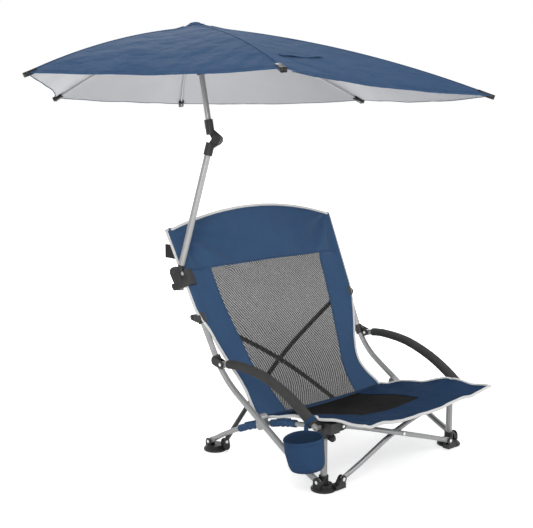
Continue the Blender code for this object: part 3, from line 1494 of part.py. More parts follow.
def make_clamp(root):
    route = post_route(-1.0)
    centre = route.at(distance_at_height(route, CLAMP_Z))
    along, out, aside = clamp_axes()
    _, _, axis = shade_axes()
    pivot = tilt_pivot()
    half = CLAMP_HALF_HEIGHT
    body = clamp_block(
        centre, along, out, aside,
        (CLAMP_BACK, -half, CLAMP_NEAR), (CLAMP_FRONT, half, CLAMP_FAR),
    )
    channel = clamp_block(
        centre, along, out, aside,
        (0.0, -half * 2.0, CHANNEL_NEAR), (CHANNEL_END, half * 2.0, CLAMP_FAR + CHANNEL_RUN),
    )
    throat = clamp_block(
        centre, along, out, aside,
        (-POST_RADIUS - GAP, -half * 2.0, 0.0), (CHANNEL_END, half * 2.0, CLAMP_FAR + CHANNEL_RUN),
    )
    seat = rod(centre - along * half * 2.0, centre + along * half * 2.0, POST_RADIUS + GAP)
    screw_line = centre + along * SCREW_HEIGHT
    tap_start = screw_line + out * TAP_START
    tap = rod(tap_start, screw_line + out * TAP_END, SCREW_RADIUS + GAP, TUBE_SIDES)
    outward, upward, inward = TILT_EAR_ROOT
    ear = strap(
        pivot, centre + out * outward + along * upward - aside * inward,
        TILT_BOSS + TILT_EAR_MARGIN, TILT_EAR_ROOT_RADIUS, axis, 2.0 * (TONGUE + EAR + GAP),
    )
    lean, up, _ = shade_axes()
    cleft = prism(
        rectangle(-CLEFT_BACK, CLEFT_FRONT, -TILT_BOSS - CLEFT_ROOM, CLEFT_RUN),
        pivot, lean, up, 2.0 * (TONGUE + GAP),
    )
    item = make_piece(
        root, "clamp_body", "plastic", pivot, body,
        joins=[ear], cuts=[channel, throat, seat, tap, cleft],
    )
    ear_half = TONGUE + EAR + GAP
    pin = rivet(pivot - axis * ear_half, pivot + axis * ear_half, PIN_RADIUS, HEAD_RADIUS * 1.1)
    add_late_joins(root, item, pivot, [pin])
    jaw = clamp_block(
        centre, along, out, aside,
        (JAW_BACK, -half + JAW_INSET, CHANNEL_NEAR + GAP), (JAW_END, half - JAW_INSET, CLAMP_FAR),
    )
    make_piece(
        root, "clamp_jaw", "plastic", screw_line, jaw,
        cuts=[rod(centre - along * half * 2.0, centre + along * half * 2.0, POST_RADIUS + GAP)],
    )
    start = JAW_END + GAP
    knob_start = CLAMP_FRONT + KNOB_GAP
    screw = turned(
        (
            (start, SCREW_RADIUS),
            (knob_start, SCREW_RADIUS),
            (knob_start, KNOB_RADIUS * 0.92),
            (knob_start + KNOB_ROUND, KNOB_RADIUS),
            (knob_start + KNOB_LENGTH - KNOB_ROUND, KNOB_RADIUS),
            (knob_start + KNOB_LENGTH, KNOB_RADIUS * 0.88),
        ),
        screw_line, out, 16,
    )
    flutes = []
    for number in range(8):
        turn = 2.0 * math.pi * number / 8.0
        offset = (along * math.cos(turn) + aside * math.sin(turn)) * (KNOB_RADIUS + FLUTE_OFFSET)
        low = screw_line + offset + out * (CLAMP_FRONT + FLUTE_START)
        flutes.append(rod(low, low + out * (KNOB_LENGTH + CUT_RUN), FLUTE_RADIUS, PIN_SIDES))
    make_piece(root, "clamp_screw", "plastic", screw_line, screw, cuts=flutes)


def make_pole_base(root):
    pivot = tilt_pivot()
    _, _, axis = shade_axes()
    direction = lower_direction()
    foot = Vector(POLE_FOOT)
    collar_low = foot + direction * (POLE_START - COLLAR_DROP)
    collar_high = foot + direction * (POLE_START - GAP)
    root_place = collar_low - direction * TONGUE_ROOT_DROP
    tongue = strap(pivot, root_place, TILT_BOSS, TONGUE_ROOT_RADIUS, axis, 2.0 * TONGUE)
    collar = rod(collar_low, collar_high, LOWER_RADIUS)
    spigot_end = foot + direction * (POLE_START + SPIGOT_LENGTH)
    spigot = rod(collar_low, spigot_end, SPIGOT_RADIUS, TUBE_SIDES)
    make_piece(
        root, "pole_base", "plastic", pivot, tongue,
        joins=[collar, spigot], cuts=[pin_hole(pivot, axis)],
    )


def make_lower_pole(root):
    pivot = tilt_pivot()
    direction = lower_direction()
    foot = Vector(POLE_FOOT)
    start = foot + direction * POLE_START
    end = foot + direction * (LOWER_LENGTH - ELBOW_LOWER_SPAN[1] - POLE_END_ROOM)
    bore_end = start + direction * (SPIGOT_LENGTH + GAP)
    bore = rod(start - direction * CUT_RUN, bore_end, SPIGOT_RADIUS + GAP)
    make_piece(root, "lower_pole", "pale_tube", pivot, rod(start, end, LOWER_RADIUS, 16), cuts=[bore])


def make_elbow(root):
    point = elbow_point()
    pivot = elbow_pivot()
    lean, level_up, axis = shade_axes()
    down = lower_direction()
    up = upper_direction()
    low_far, low_near = ELBOW_LOWER_SPAN
    socket = LOWER_RADIUS + GAP + ELBOW_SOCKET_WALL
    half = ELBOW_TONGUE + GAP + ELBOW_EAR
    lower = rod(point - down * low_far, point - down * low_near, socket)
    lower_link = strap(
        pivot, point - down * (low_near + ELBOW_LINK_RUN) + lean * ELBOW_LINK_LEAN,
        ELBOW_BOSS, ELBOW_LINK_ROOT, axis, 2.0 * half,
    )
    slot_turn = prism(
        rectangle(
            -ELBOW_CLEFT_BACK, ELBOW_CLEFT_FRONT, -ELBOW_BOSS - CLEFT_ROOM, ELBOW_CLEFT_RUN,
        ),
        pivot, lean, level_up, 2.0 * (ELBOW_TONGUE + GAP),
    )
    lower_bore = rod(
        point - down * (low_far + CUT_RUN), point - down * (low_near + ELBOW_END_WALL),
        LOWER_RADIUS + GAP,
    )
    pin_low = pivot - axis * (half + GAP)
    make_piece(
        root, "elbow_lower", "plastic", pivot, lower,
        joins=[lower_link], cuts=[slot_turn, lower_bore, pin_hole(pivot, axis, SCREW_RADIUS)],
    )
    up_near, up_far = ELBOW_UPPER_SPAN
    upper_socket = UPPER_RADIUS + GAP + ELBOW_SOCKET_WALL + UPPER_SOCKET_EXTRA
    upper = rod(point + up * up_near, point + up * up_far, upper_socket)
    upper_link = strap(
        pivot, point + up * (up_near + ELBOW_LINK_RUN) + lean * ELBOW_LINK_LEAN,
        ELBOW_BOSS, ELBOW_LINK_ROOT, axis, 2.0 * ELBOW_TONGUE,
    )
    upper_bore = rod(
        point + up * (up_near + ELBOW_END_WALL), point + up * (up_far + CUT_RUN),
        UPPER_RADIUS + GAP,
    )
    make_piece(
        root, "elbow_upper", "plastic", pivot, upper,
        joins=[upper_link], cuts=[upper_bore, pin_hole(pivot, axis, SCREW_RADIUS)],
    )
    length = 2.0 * (half + GAP)
    knob = turned(
        (
            (-ELBOW_KNOB_LENGTH, ELBOW_KNOB_RADIUS * 0.9),
            (-ELBOW_KNOB_LENGTH + KNOB_ROUND, ELBOW_KNOB_RADIUS),
            (-ELBOW_KNOB_ROUND, ELBOW_KNOB_RADIUS),
            (0.0, ELBOW_KNOB_RADIUS * 0.9),
            (0.0, SCREW_RADIUS),
            (length, SCREW_RADIUS),
            (length, HEAD_RADIUS),
            (length + HEAD_HEIGHT, HEAD_RADIUS * 0.8),
        ),
        pin_low, axis, 20,
    )
    make_piece(root, "elbow_knob", "plastic", pivot, knob)
    start = point + up * (up_near + POLE_END_ROOM)
    make_piece(
        root, "upper_pole", "pale_tube", pivot,
        rod(start, hub_point() - up * (HUB_HALF_HEIGHT + GAP), UPPER_RADIUS, 16),
    )


# Canopy


def rib_direction(angle):
    """The way a rib points, square to the upper pole, and the axis that it folds on."""
    _, _, axis = shade_axes()
    turn = math.radians(angle)
    outward = shade_front() * math.cos(turn) + axis * math.sin(turn)
    return outward, upper_direction().cross(outward).normalized()


def rib_root(angle):
    outward, _ = rib_direction(angle)
    return hub_point() + outward * HUB_PIVOT_RADIUS


def rib_tip(angle, reach, drop):
    outward, _ = rib_direction(angle)
    return hub_point() + outward * reach - upper_direction() * drop


def rib_route(angle, reach, drop):
    """A rib, arched a little above the straight line from its root to its tip."""
    _, hinge = rib_direction(angle)
    start = rib_root(angle)
    end = rib_tip(angle, reach, drop)
    above = hinge.cross(end - start).normalized()
    if above.dot(upper_direction()) < 0.0:
        above = -above
    middle = (start + end) / 2.0 + above * ((end - start).length * RIB_ARCH_SHARE)
    return Route(arc_through(start, middle, end)), above


def stretcher_joint(angle, reach, drop):
    start = rib_root(angle)
    end = rib_tip(angle, reach, drop)
    return start + (end - start).normalized() * STRETCHER_REACH


def runner_joint(angle):
    outward, _ = rib_direction(angle)
    return hub_point() - upper_direction() * RUNNER_DROP + outward * HUB_PIVOT_RADIUS


def make_rib(root, number, angle, reach, drop):
    route, above = rib_route(angle, reach, drop)
    _, hinge = rib_direction(angle)
    pivot = rib_root(angle)
    rings = []
    for distance in route.knots(-RIB_END_ROOM, route.length - RIB_END_ROOM):
        place, first, second = route.frame(distance, hinge)
        rings.append((place, first * RIB_RADIUS, second * RIB_RADIUS))
    shape = skin_rings(rings, RIB_SIDES)
    joint = stretcher_joint(angle, reach, drop)
    lug_root = joint + above * (route.at(STRETCHER_REACH) - joint).dot(above)
    lug = strap(joint, lug_root, RIB_LUG_RADIUS, RIB_LUG_ROOT_RADIUS, hinge, 2.0 * LUG)
    cap_start = route.at(route.length - RIB_CAP_LENGTH)
    ahead = route.heading(route.length)
    cap = turned(
        ((0.0, RIB_CAP_RADIUS * 0.7), (RIB_CAP_ROUND, RIB_CAP_RADIUS),
         (RIB_CAP_LENGTH, RIB_CAP_RADIUS), (RIB_CAP_LENGTH + RIB_CAP_POINT, RIB_CAP_RADIUS * 0.5)),
        cap_start, ahead, RIB_SIDES,
    )
    hole = rod(joint - hinge * CUT_RUN, joint + hinge * CUT_RUN, RIB_PIN_RADIUS + GAP, PIN_SIDES)
    make_piece(
        root, f"rib_{number}", "pale_tube", pivot, shape, joins=[lug, cap], cuts=[hole],
    )


def make_stretcher(root, number, angle, reach, drop):
    _, hinge = rib_direction(angle)
    start = stretcher_joint(angle, reach, drop)
    end = runner_joint(angle)
    aside = hinge * (LUG * 2.0 + GAP)
    shape = strap(
        start + aside, end + aside, STRETCHER_HALF, STRETCHER_HALF, hinge, 2.0 * LUG, steps=5,
    )
    pin = rod(start - hinge * (LUG + RIB_PIN_HEAD), start + aside, RIB_PIN_RADIUS, PIN_SIDES)
    make_piece(root, f"stretcher_{number}", "pale_tube", start, shape, joins=[pin])


def ring_with_slots(centre, radius, half_height, up, extra_profile=()):
    return turned(
        ((-half_height, radius * 0.94), (-half_height + RING_ROUND, radius),
         (half_height - RING_ROUND, radius), (half_height, radius * 0.94), *extra_profile),
        centre, up, 20,
    )


def radial_slots(centre, half_height, low_share, width, aside):
    slots = []
    up = upper_direction()
    for _, angle, _, _ in RIB_TIPS:
        outward, hinge = rib_direction(angle)
        outline = (
            (HUB_PIVOT_RADIUS - RING_SLOT_DEPTH, low_share * half_height),
            (HUB_PIVOT_RADIUS + RING_SLOT_RUN, low_share * half_height),
            (HUB_PIVOT_RADIUS + RING_SLOT_RUN, half_height * 0.45),
            (HUB_PIVOT_RADIUS - RING_SLOT_DEPTH, half_height * 0.45),
        )
        slots.append(prism(outline, centre + hinge * aside, outward, up, width))
    return slots


def make_hub(root):
    centre = hub_point()
    up = upper_direction()
    finial = (
        (HUB_HALF_HEIGHT, FINIAL_STEM),
        (FINIAL_TOP * 0.55, FINIAL_STEM),
        (FINIAL_TOP * 0.60, FINIAL_RADIUS),
        (FINIAL_TOP * 0.85, FINIAL_RADIUS * 0.85),
        (FINIAL_TOP, FINIAL_RADIUS * 0.35),
    )
    shape = ring_with_slots(centre, HUB_RADIUS, HUB_HALF_HEIGHT, up, finial)
    slots = radial_slots(centre, HUB_HALF_HEIGHT, -4.0, 2.0 * (RIB_RADIUS + GAP * 2.0), 0.0)
    make_piece(root, "hub", "plastic", centre, shape, cuts=slots)


def make_runner(root):
    up = upper_direction()
    centre = hub_point() - up * RUNNER_DROP
    shape = turned(
        ((-RUNNER_HALF_HEIGHT - RUNNER_SKIRT, UPPER_RADIUS + SKIRT_END_WALL),
         (-RUNNER_HALF_HEIGHT, UPPER_RADIUS + SKIRT_ROOT_WALL),
         (-RUNNER_HALF_HEIGHT, RUNNER_RADIUS * 0.94),
         (-RUNNER_HALF_HEIGHT + RING_ROUND, RUNNER_RADIUS),
         (RUNNER_HALF_HEIGHT - RING_ROUND, RUNNER_RADIUS),
         (RUNNER_HALF_HEIGHT, RUNNER_RADIUS * 0.94)),
        centre, up, 20,
    )
    bore_low = centre - up * RUNNER_BORE_DOWN
    bore = rod(bore_low, centre + up * RUNNER_BORE_UP, UPPER_RADIUS + GAP * 1.5, 16)
    wide = 2.0 * (LUG + GAP)
    slots = radial_slots(centre, RUNNER_HALF_HEIGHT, -0.75, wide, LUG * 2.0 + GAP)
    tall = radial_slots(centre, RUNNER_HALF_HEIGHT * 6.0, -0.12, wide, LUG * 2.0 + GAP)
    make_piece(root, "runner", "plastic", centre, shape, cuts=[bore, *slots, *tall])


def canopy_grid():
    """Rings of points over the ribs, each gore drawn a little in and down between its ribs."""
    up = upper_direction()
    routes = [(rib_route(angle, reach, drop)) for _, angle, reach, drop in RIB_TIPS]
    rings = []
    for share in CANOPY_RING_SHARES:
        ring = []
        for number, (route, above) in enumerate(routes):
            following, next_above = routes[(number + 1) % len(routes)]
            here = canopy_rib_point(route, above, share)
            there = canopy_rib_point(following, next_above, share)
            for step in range(CANOPY_STEPS):
                t = step / CANOPY_STEPS
                point = here.lerp(there, t)
                bulge = 4.0 * t * (1.0 - t) * (there - here).length
                centre = hub_point() - up * (hub_point() - point).dot(up)
                inward = (centre - point).normalized()
                point = point + inward * (bulge * CANOPY_SCALLOP_SHARE * share**2)
                point = point - up * (bulge * CANOPY_DIP_SHARE)
                ring.append(point)
        rings.append(ring)
    return rings


def canopy_rib_point(route, above, share):
    reach = CANOPY_EYE - HUB_PIVOT_RADIUS + CANOPY_EYE_STEP
    distance = reach + (route.length + CANOPY_OVERHANG - reach) * share
    lift = CANOPY_LIFT + RIB_CAP_RADIUS * 0.5 * share
    if share == 0.0:
        lift += CANOPY_EYE_RISE
    return route.at(distance) + above * lift


def make_canopy(root):
    shape = slab(canopy_grid(), lambda r, c: True, CANOPY_THICKNESS, wrap=True)
    make_piece(root, "canopy", "navy", hub_point(), shape)


# Assembly


def make_chair(root):
    for label, side in SIDES:
        make_front_foot(root, label, side)
        make_rear_foot(root, label, side)
        make_post(root, label, side)
        make_leg(root, label, side)
        make_bracket(root, label, side)
        make_cross(root, label, side)
        make_side_tube(root, label, side)
        make_side_pivot(root, label, side)
        make_rear_cross(root, label, side)
        make_rear_clip(root, label, side)
        make_arm_clip(root, label, side)
        make_arm(root, label, side)
        make_grip(root, label, side)
        make_side_sleeve(root, label, side)
    cross_middle = Vector((0.0, CROSS_Y, CROSS_MIDDLE_Z))
    make_cross_rivet(root, "front_cross_rivet", cross_middle, Y_AXIS, CROSS_BOW, CROSS_RADIUS)
    make_cross_rivet(root, "rear_cross_rivet", rear_middle(), rear_normal(), REAR_BOW, REAR_RADIUS)
    make_cup_holder(root)
    make_back(root)
    make_seat(root)
    make_tab(root)


def make_sunshade(root):
    make_clamp(root)
    make_pole_base(root)
    make_lower_pole(root)
    make_elbow(root)
    make_hub(root)
    make_runner(root)
    for number, (_, angle, reach, drop) in enumerate(RIB_TIPS, start=1):
        make_rib(root, number, angle, reach, drop)
        make_stretcher(root, number, angle, reach, drop)
    make_canopy(root)


def centre_on_origin(root):
    """Shifts the chair so that the origin is on the floor below the middle of its box."""
    bpy.context.view_layer.update()
    graph = bpy.context.evaluated_depsgraph_get()
    low = Vector((math.inf,) * 3)
    high = Vector((-math.inf,) * 3)
    for item in bpy.context.scene.objects:
        if item.type != "MESH" or item.hide_render:
            continue
        solid = item.evaluated_get(graph)
        for corner in solid.bound_box:
            place = item.matrix_world @ Vector(corner)
            low = Vector(map(min, low, place))
            high = Vector(map(max, high, place))
    middle = (low + high) / 2.0
    root.location = (-middle.x, -middle.y, -low.z)


def main():
    clear_scene()
    root = bpy.data.objects.new("chair", None)
    bpy.context.scene.collection.objects.link(root)
    make_chair(root)
    make_sunshade(root)
    centre_on_origin(root)


main()
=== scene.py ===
"""A low folding camping chair with a clamp-on sunshade, dressed for its photograph."""

import math

import bmesh
import bpy
from mathutils import Matrix, Vector, noise


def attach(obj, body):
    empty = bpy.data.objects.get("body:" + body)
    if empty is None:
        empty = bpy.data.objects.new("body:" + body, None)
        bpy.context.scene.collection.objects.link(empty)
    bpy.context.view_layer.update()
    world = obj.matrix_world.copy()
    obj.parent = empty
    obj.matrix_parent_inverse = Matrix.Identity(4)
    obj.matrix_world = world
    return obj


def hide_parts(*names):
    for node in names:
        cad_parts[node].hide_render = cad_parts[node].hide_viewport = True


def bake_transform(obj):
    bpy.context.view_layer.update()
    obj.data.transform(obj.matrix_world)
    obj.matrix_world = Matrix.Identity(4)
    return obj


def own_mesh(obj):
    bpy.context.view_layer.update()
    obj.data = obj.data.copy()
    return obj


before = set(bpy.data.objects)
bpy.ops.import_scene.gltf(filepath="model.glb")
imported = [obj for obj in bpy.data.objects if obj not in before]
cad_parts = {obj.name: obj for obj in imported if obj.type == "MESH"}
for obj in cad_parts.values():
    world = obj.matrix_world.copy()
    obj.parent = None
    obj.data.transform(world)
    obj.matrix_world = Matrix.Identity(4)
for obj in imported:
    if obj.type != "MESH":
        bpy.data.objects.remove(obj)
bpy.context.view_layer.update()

# Where the chair's own origin, midway between the front feet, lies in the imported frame
SHIFT = Vector((0.264268, -0.390053, 0.0))
X_AXIS = Vector((1.0, 0.0, 0.0))
Y_AXIS = Vector((0.0, 1.0, 0.0))
Z_AXIS = Vector((0.0, 0.0, 1.0))

# Back posts and side tubes, as in the CAD
SLEEVE_RADIUS = 0.01125
POST_KNEE = Vector((0.300, 0.371, 0.237))
POST_TOP = Vector((0.330, 0.5795, 0.650))
SIDE_REAR = Vector((0.283, 0.455, 0.026))
SIDE_PIVOT = Vector((0.2640, 0.2275, 0.128))
SIDE_FRONT = Vector((0.2475, 0.028, 0.158))
SIDE_RADIUS = 0.0072
SIDE_SLEEVE_SHARES = ((0.325, 0.490), (0.612, 0.775))
SIDE_SLEEVE_WALL = 0.0026
SIDE_SLEEVE_STEPS = 28
SIDE_SLEEVE_SIDES = 24
CUFF_SHIFTS = (-0.018, -0.006, 0.006, 0.018)
CUFF_WALL = 0.0034
# Heights of the sleeves on the right and left posts, between the clips and the clamp
SLEEVE_SPANS = {-1.0: ((0.424, 0.484), (0.542, 0.6510)), 1.0: ((0.424, 0.6510),)}
SLEEVE_STEPS = 26
SLEEVE_SIDES = 22
SLEEVE_END_RISE = 0.0022

# Sling: heights and depths are shares of the back's size, widths of its half width
SLING_TOP = 0.700
SLING_DEPTH = 0.600
SLING_HALF_WIDTH = 0.330
SEAT_REACH = 0.245
SEAT_HEIGHT = 0.210
CLOTH = 0.0012
NET = 0.0008
# height, depth, edge depth, edge width, window width, rise of the middle
BACK_ROW_SHARES = (
    (0.200, 0.462, 0.462, 0.790, 0.455, 0.000),
    (0.286, 0.553, 0.566, 0.742, 0.494, 0.000),
    (0.371, 0.622, 0.628, 0.795, 0.563, 0.000),
    (0.457, 0.676, 0.674, 0.872, 0.600, 0.000),
    (0.529, 0.722, 0.710, 0.921, 0.632, 0.000),
    (0.629, 0.780, 0.7710, 0.944, 0.668, 0.000),
    (0.714, 0.827, 0.8205, 0.956, 0.687, 0.000),
    (0.760, 0.849, 0.8474, 0.964, 0.694, 0.006),
    (0.850, 0.900, 0.9000, 0.976, 0.715, 0.020),
    (0.930, 0.953, 0.9468, 0.988, 0.730, 0.070),
)
# depth, height, edge depth, edge height, edge width, window width
SEAT_ROW_SHARES = (
    (1.000, 0.590, 1.060, 0.650, 0.788, 0.455),
    (0.780, 0.605, 0.820, 0.735, 0.800, 0.460),
    (0.400, 0.700, 0.420, 0.840, 0.812, 0.440),
    (0.085, 0.768, 0.085, 0.936, 0.868, 0.390),
    (0.000, 0.785, 0.000, 0.944, 0.874, 0.384),
    (-0.220, 0.805, -0.290, 0.962, 0.846, 0.392),
    (-0.430, 0.815, -0.583, 0.986, 0.824, 0.390),
)
BACK_WINDOW_ROW = 2.0
JOIN_ROW = 9.5
SEAT_WINDOW_ROW = 14.0
LAST_ROW = 16.0
SEAT_CURVE = 1.6
BACK_CURVE = 4.0
EDGE_PIPING = 0.0041
PIPING_TURN = 0.74
NET_LAP = 0.012
NET_SINK = 0.0011
NET_OVERLAP_ROWS = 0.05
# Steps down and across each panel
TOP_GRID = (28, 56)
BACK_MARGIN_ROWS = 84
BACK_NET_GRID = (76, 40)
SEAT_MARGIN_ROWS = 44
SEAT_NET_GRID = (48, 36)
FRONT_GRID = (20, 64)
SEAM_GRID = (4, 64)
MARGIN_COLUMNS = 14
BACK_PIPING_GRID = (100, 60)
SEAT_PIPING_STEPS = 70
PIPING_SIDES = 10
TOP_PIPING_LIFT = 0.0008
# Shares of the width at which the front's piping and the seam between back and seat end
SEAT_END_SHARE = 0.985
HEM_WIDTH = 0.0012
WRAP_ANGLE = math.radians(100.0)
WRAP_STEPS = 6
# The sleeve round the post turns into a plain hem between these rows
SLEEVE_ROWS = (4.1, 5.2)
SEAM_HALF_ROWS = 0.22
SEAM_LIFT = 0.0013
SEAM_THICKNESS = 0.0008
# Folds that fan out from the back's two top corners
FAN_X = 0.318
FAN_Z = 0.655
FAN_FOLD = 0.0092
FAN_REACH = 0.12
FAN_WIDTH = 0.11

# Stitches
STITCH_LENGTH = 0.0032
STITCH_GAP = 0.0014
STITCH_RADIUS = 0.00042
STITCH_LIFT = 0.0007
STITCH_SLOPE = 0.125
SHORTEST_STITCH = 0.25 * STITCH_LENGTH
STITCH_FACES = ((0, 3, 2, 1), (0, 1, 4), (1, 2, 5, 4), (2, 3, 5), (3, 0, 4, 5))
# Seams beside the windows, along the edges and across
BACK_SEWN_INSETS = (0.010, 0.020)
BACK_SEWN_EDGE = 0.962
BACK_SEWN_END = 0.97
BACK_SEWN_ROWS = (1.955, 1.91, 0.085, 0.16)
SEAT_SEWN_INSETS = (0.010, 0.022)
SEAT_SEWN_EDGE = 0.965
SEAT_SEWN_END = 0.96
WINDOW_SEWN_ROWS = (14.03, 14.09)
FRONT_SEWN_ROWS = (15.88, 15.80)

# Sunshade
SHADE_BEARING = math.radians(-58.67)
SHADE_ROLL = math.radians(4.0)
POLE_FOOT = Vector((-0.3455, 0.5235, 0.500))
LOWER_LEAN = math.radians(13.32)
UPPER_LEAN = math.radians(-9.96)
LOWER_LENGTH = 0.427
UPPER_LENGTH = 0.314
HUB_PIVOT_RADIUS = 0.0170
# angle, reach, drop
RIB_TIPS = (
    (0.0, 0.783, 0.332),
    (54.3, 0.609, 0.231),
    (116.2, 0.592, 0.132),
    (180.0, 0.456, 0.117),
    (-116.2, 0.592, 0.132),
    (-54.3, 0.609, 0.231),
)
RIB_ARCH_SHARE = 0.033
RIB_CAP_RADIUS = 0.0042
CANOPY_THICKNESS = 0.0010
CANOPY_LIFT = 0.0042
CANOPY_EYE = 0.0125
CANOPY_OVERHANG = 0.004
CANOPY_DIP_SHARE = 0.012
CANOPY_SCALLOP_SHARE = 0.035
CANOPY_RINGS = 26
GORE_STEPS = 18
CANOPY_SEAM_LIFT = 0.0009
CANOPY_SEWN_SHARES = (0.982, 0.972)
# Just past a rib, in ribs
ON_RIB = 0.0001
CAP_TOP = 0.0190
CAP_SHARE = 0.006
CAP_LIFT = 0.0015
CAP_THICKNESS = 0.0014
CAP_RINGS = 10
CAP_SIDES = 48
TIP_WIDTH = 0.0165
TIP_THICKNESS = 0.0120
TIP_OVERHANG = 0.0055
TIP_DROP = 0.0040
CANOPY_EYE_MARGIN = 0.010
CANOPY_HUB_LIFT = 0.0065
CANOPY_SEAM_RADIUS = 0.0013
CANOPY_HEM_RADIUS = 0.0012
# width, thickness
TIE_SIZE = (0.014, 0.0016)
TIE_END_SIZE = (0.011, 0.0015)

# Cup holder
CUP_CENTRE = Vector((-0.3795, -0.030, 0.0))
CUP_RIM_Z = 0.174
CUP_BASE_Z = 0.094
CUP_RIM_RADIUS = 0.052
CUP_BASE_RADIUS = 0.045
CUP_HEIGHT = CUP_RIM_Z - CUP_BASE_Z
CUP_FLARE = CUP_RIM_RADIUS - CUP_BASE_RADIUS
CUP_FLOOR = 0.0030
CUP_WALL = 0.0020
CUP_STEPS = 14
CUP_SIDES = 56
# height, radius, thickness
CUP_RINGS = (
    (CUP_RIM_Z, CUP_RIM_RADIUS - 0.0006, 0.0017),
    (CUP_BASE_Z + 0.0010, CUP_BASE_RADIUS - 0.0046, 0.0014),
)
CUP_SEAM_ANGLE = math.radians(-128.0)
CUP_SEWN_INSET = 0.006
CUP_SEWN_LIFT = 0.0016
# width, thickness
CUP_LOOP_SIZE = (0.011, 0.0016)
CUP_TAB_SIZE = (0.012, 0.0018)
ARM_X = 0.309
ARM_PIVOT = (0.3685, 0.280)
ARM_REACH = 0.3735
ARM_CURVE_SHARES = (
    (0.0, 0.0),
    (0.18, 0.024),
    (0.45, 0.0),
    (0.70, -0.085),
    (0.88, -0.185),
    (1.0, -0.272),
)
CUP_LOOP_SHARE = 0.945
CUP_LOOP_RADIUS = 0.0167
CUP_TILT = 0.085
CUP_RISE = Vector((0.730, -0.683, 0.0))

# Webbing tab on the right post
TAB_Z = 0.585
TAB_HEIGHT = 0.040
TAB_REACH = 0.044
TAB_FOLD = 0.0011
TAB_THICKNESS = 0.0014

# A flat strap's outline, as shares of its width and thickness
RIBBON_OUTLINE = (
    (-0.5, 0.35), (-0.42, 0.5), (0.42, 0.5), (0.5, 0.35),
    (0.5, -0.35), (0.42, -0.5), (-0.42, -0.5), (-0.5, -0.35),
)

# Camera, fitted to the photograph
CAMERA_PLACE = Vector((-2.1753, -1.8131, 1.0168))
CAMERA_AZIMUTH = math.radians(-43.08)
CAMERA_PITCH = math.radians(8.855)
FOCAL_PIXELS = 1032.26
PHOTO_WIDTH = 533.0
PHOTO_HEIGHT = 528.0
CENTRE_ROW = 264.0
SENSOR = 36.0

# Light: name, place, size and power
LIGHTS = (
    ("key", (-2.9, -2.7, 2.3), 2.0, 92.0),
    ("fill", (1.9, -3.4, 1.6), 2.6, 34.0),
    ("rear", (1.2, 2.6, 2.9), 2.2, 60.0),
)
LIT_PLACE = Vector((0.0, 0.0, 0.5))
# How bright the sky is for rough surfaces, and for the camera and its reflections
WORLD_GLOW = (0.46, 1.0)
FLOOR_HALF = 30.0
FLOOR_DROP = 0.0003
# The distances from the middle between which the floor's glow rises, and its two levels
FLOOR_GLOW = (0.7, 2.2, 0.56, 1.1)


# Node graphs


class Graph:
    """A material's or world's node tree, with short ways to add the nodes used here."""

    def __init__(self, owner, shader="Principled BSDF"):
        owner.use_nodes = True
        self.owner = owner
        self.tree = owner.node_tree
        self.shader = self.tree.nodes[shader]

    def feed(self, socket, value):
        """Give a socket a number, a colour or another node's output."""
        if not isinstance(value, (float, tuple)):
            self.tree.links.new(value, socket)
        elif socket.type == "RGBA":
            socket.default_value = (*value, 1.0)
        else:
            socket.default_value = value

    def set(self, **values):
        for key, value in values.items():
            self.feed(self.shader.inputs[key.replace("_", " ")], value)

    def add(self, kind, **settings):
        """A new node; settings that start with a capital letter are sockets."""
        node = self.tree.nodes.new(kind)
        for key, value in settings.items():
            if key[0].isupper():
                self.feed(node.inputs[key.replace("_", " ")], value)
            else:
                setattr(node, key, value)
        return node

    def place(self):
        return self.add("ShaderNodeTexCoord").outputs["Object"]

    def noise(self, vector, scale, detail=3.0, roughness=0.5):
        looks = {"Scale": scale, "Detail": detail, "Roughness": roughness}
        return self.add("ShaderNodeTexNoise", Vector=vector, **looks).outputs["Fac"]

    def ramp(self, value, low, high, first=0.0, last=1.0):
        limits = {"From_Min": low, "From_Max": high, "To_Min": first, "To_Max": last}
        return self.add("ShaderNodeMapRange", Value=value, **limits).outputs["Result"]

    def math(self, operation, *values):
        node = self.add("ShaderNodeMath", operation=operation)
        for socket, value in zip(node.inputs, values):
            self.feed(socket, value)
        return node.outputs["Value"]

    def mix(self, factor, first, second):
        node = self.add("ShaderNodeMix", data_type="RGBA", Factor=factor)
        self.feed(node.inputs[6], first)
        self.feed(node.inputs[7], second)
        return node.outputs[2]

    def bump(self, height, strength, distance, after=None):
        node = self.add("ShaderNodeBump", Height=height, Strength=strength, Distance=distance)
        if after is not None:
            self.feed(node.inputs["Normal"], after)
        return node.outputs["Normal"]

    def threads(self, vector, pitch, turns):
        """Two crossing sets of threads, as a height from 0 to 1."""
        turned = self.add("ShaderNodeVectorRotate", Vector=vector, rotation_type="EULER_XYZ")
        self.feed(turned.inputs["Rotation"], turns)
        split = self.add("ShaderNodeSeparateXYZ", Vector=turned.outputs["Vector"])
        scale = 2.0 * math.pi / pitch
        waves = [self.math("SINE", self.math("MULTIPLY", split.outputs[axis], scale)) for axis in "XY"]
        return self.ramp(self.math("MULTIPLY", *waves), -1.0, 1.0)


def new_finish(name):
    """A new material's graph, and its texture place."""
    g = Graph(bpy.data.materials.new(name))
    return g, g.place()


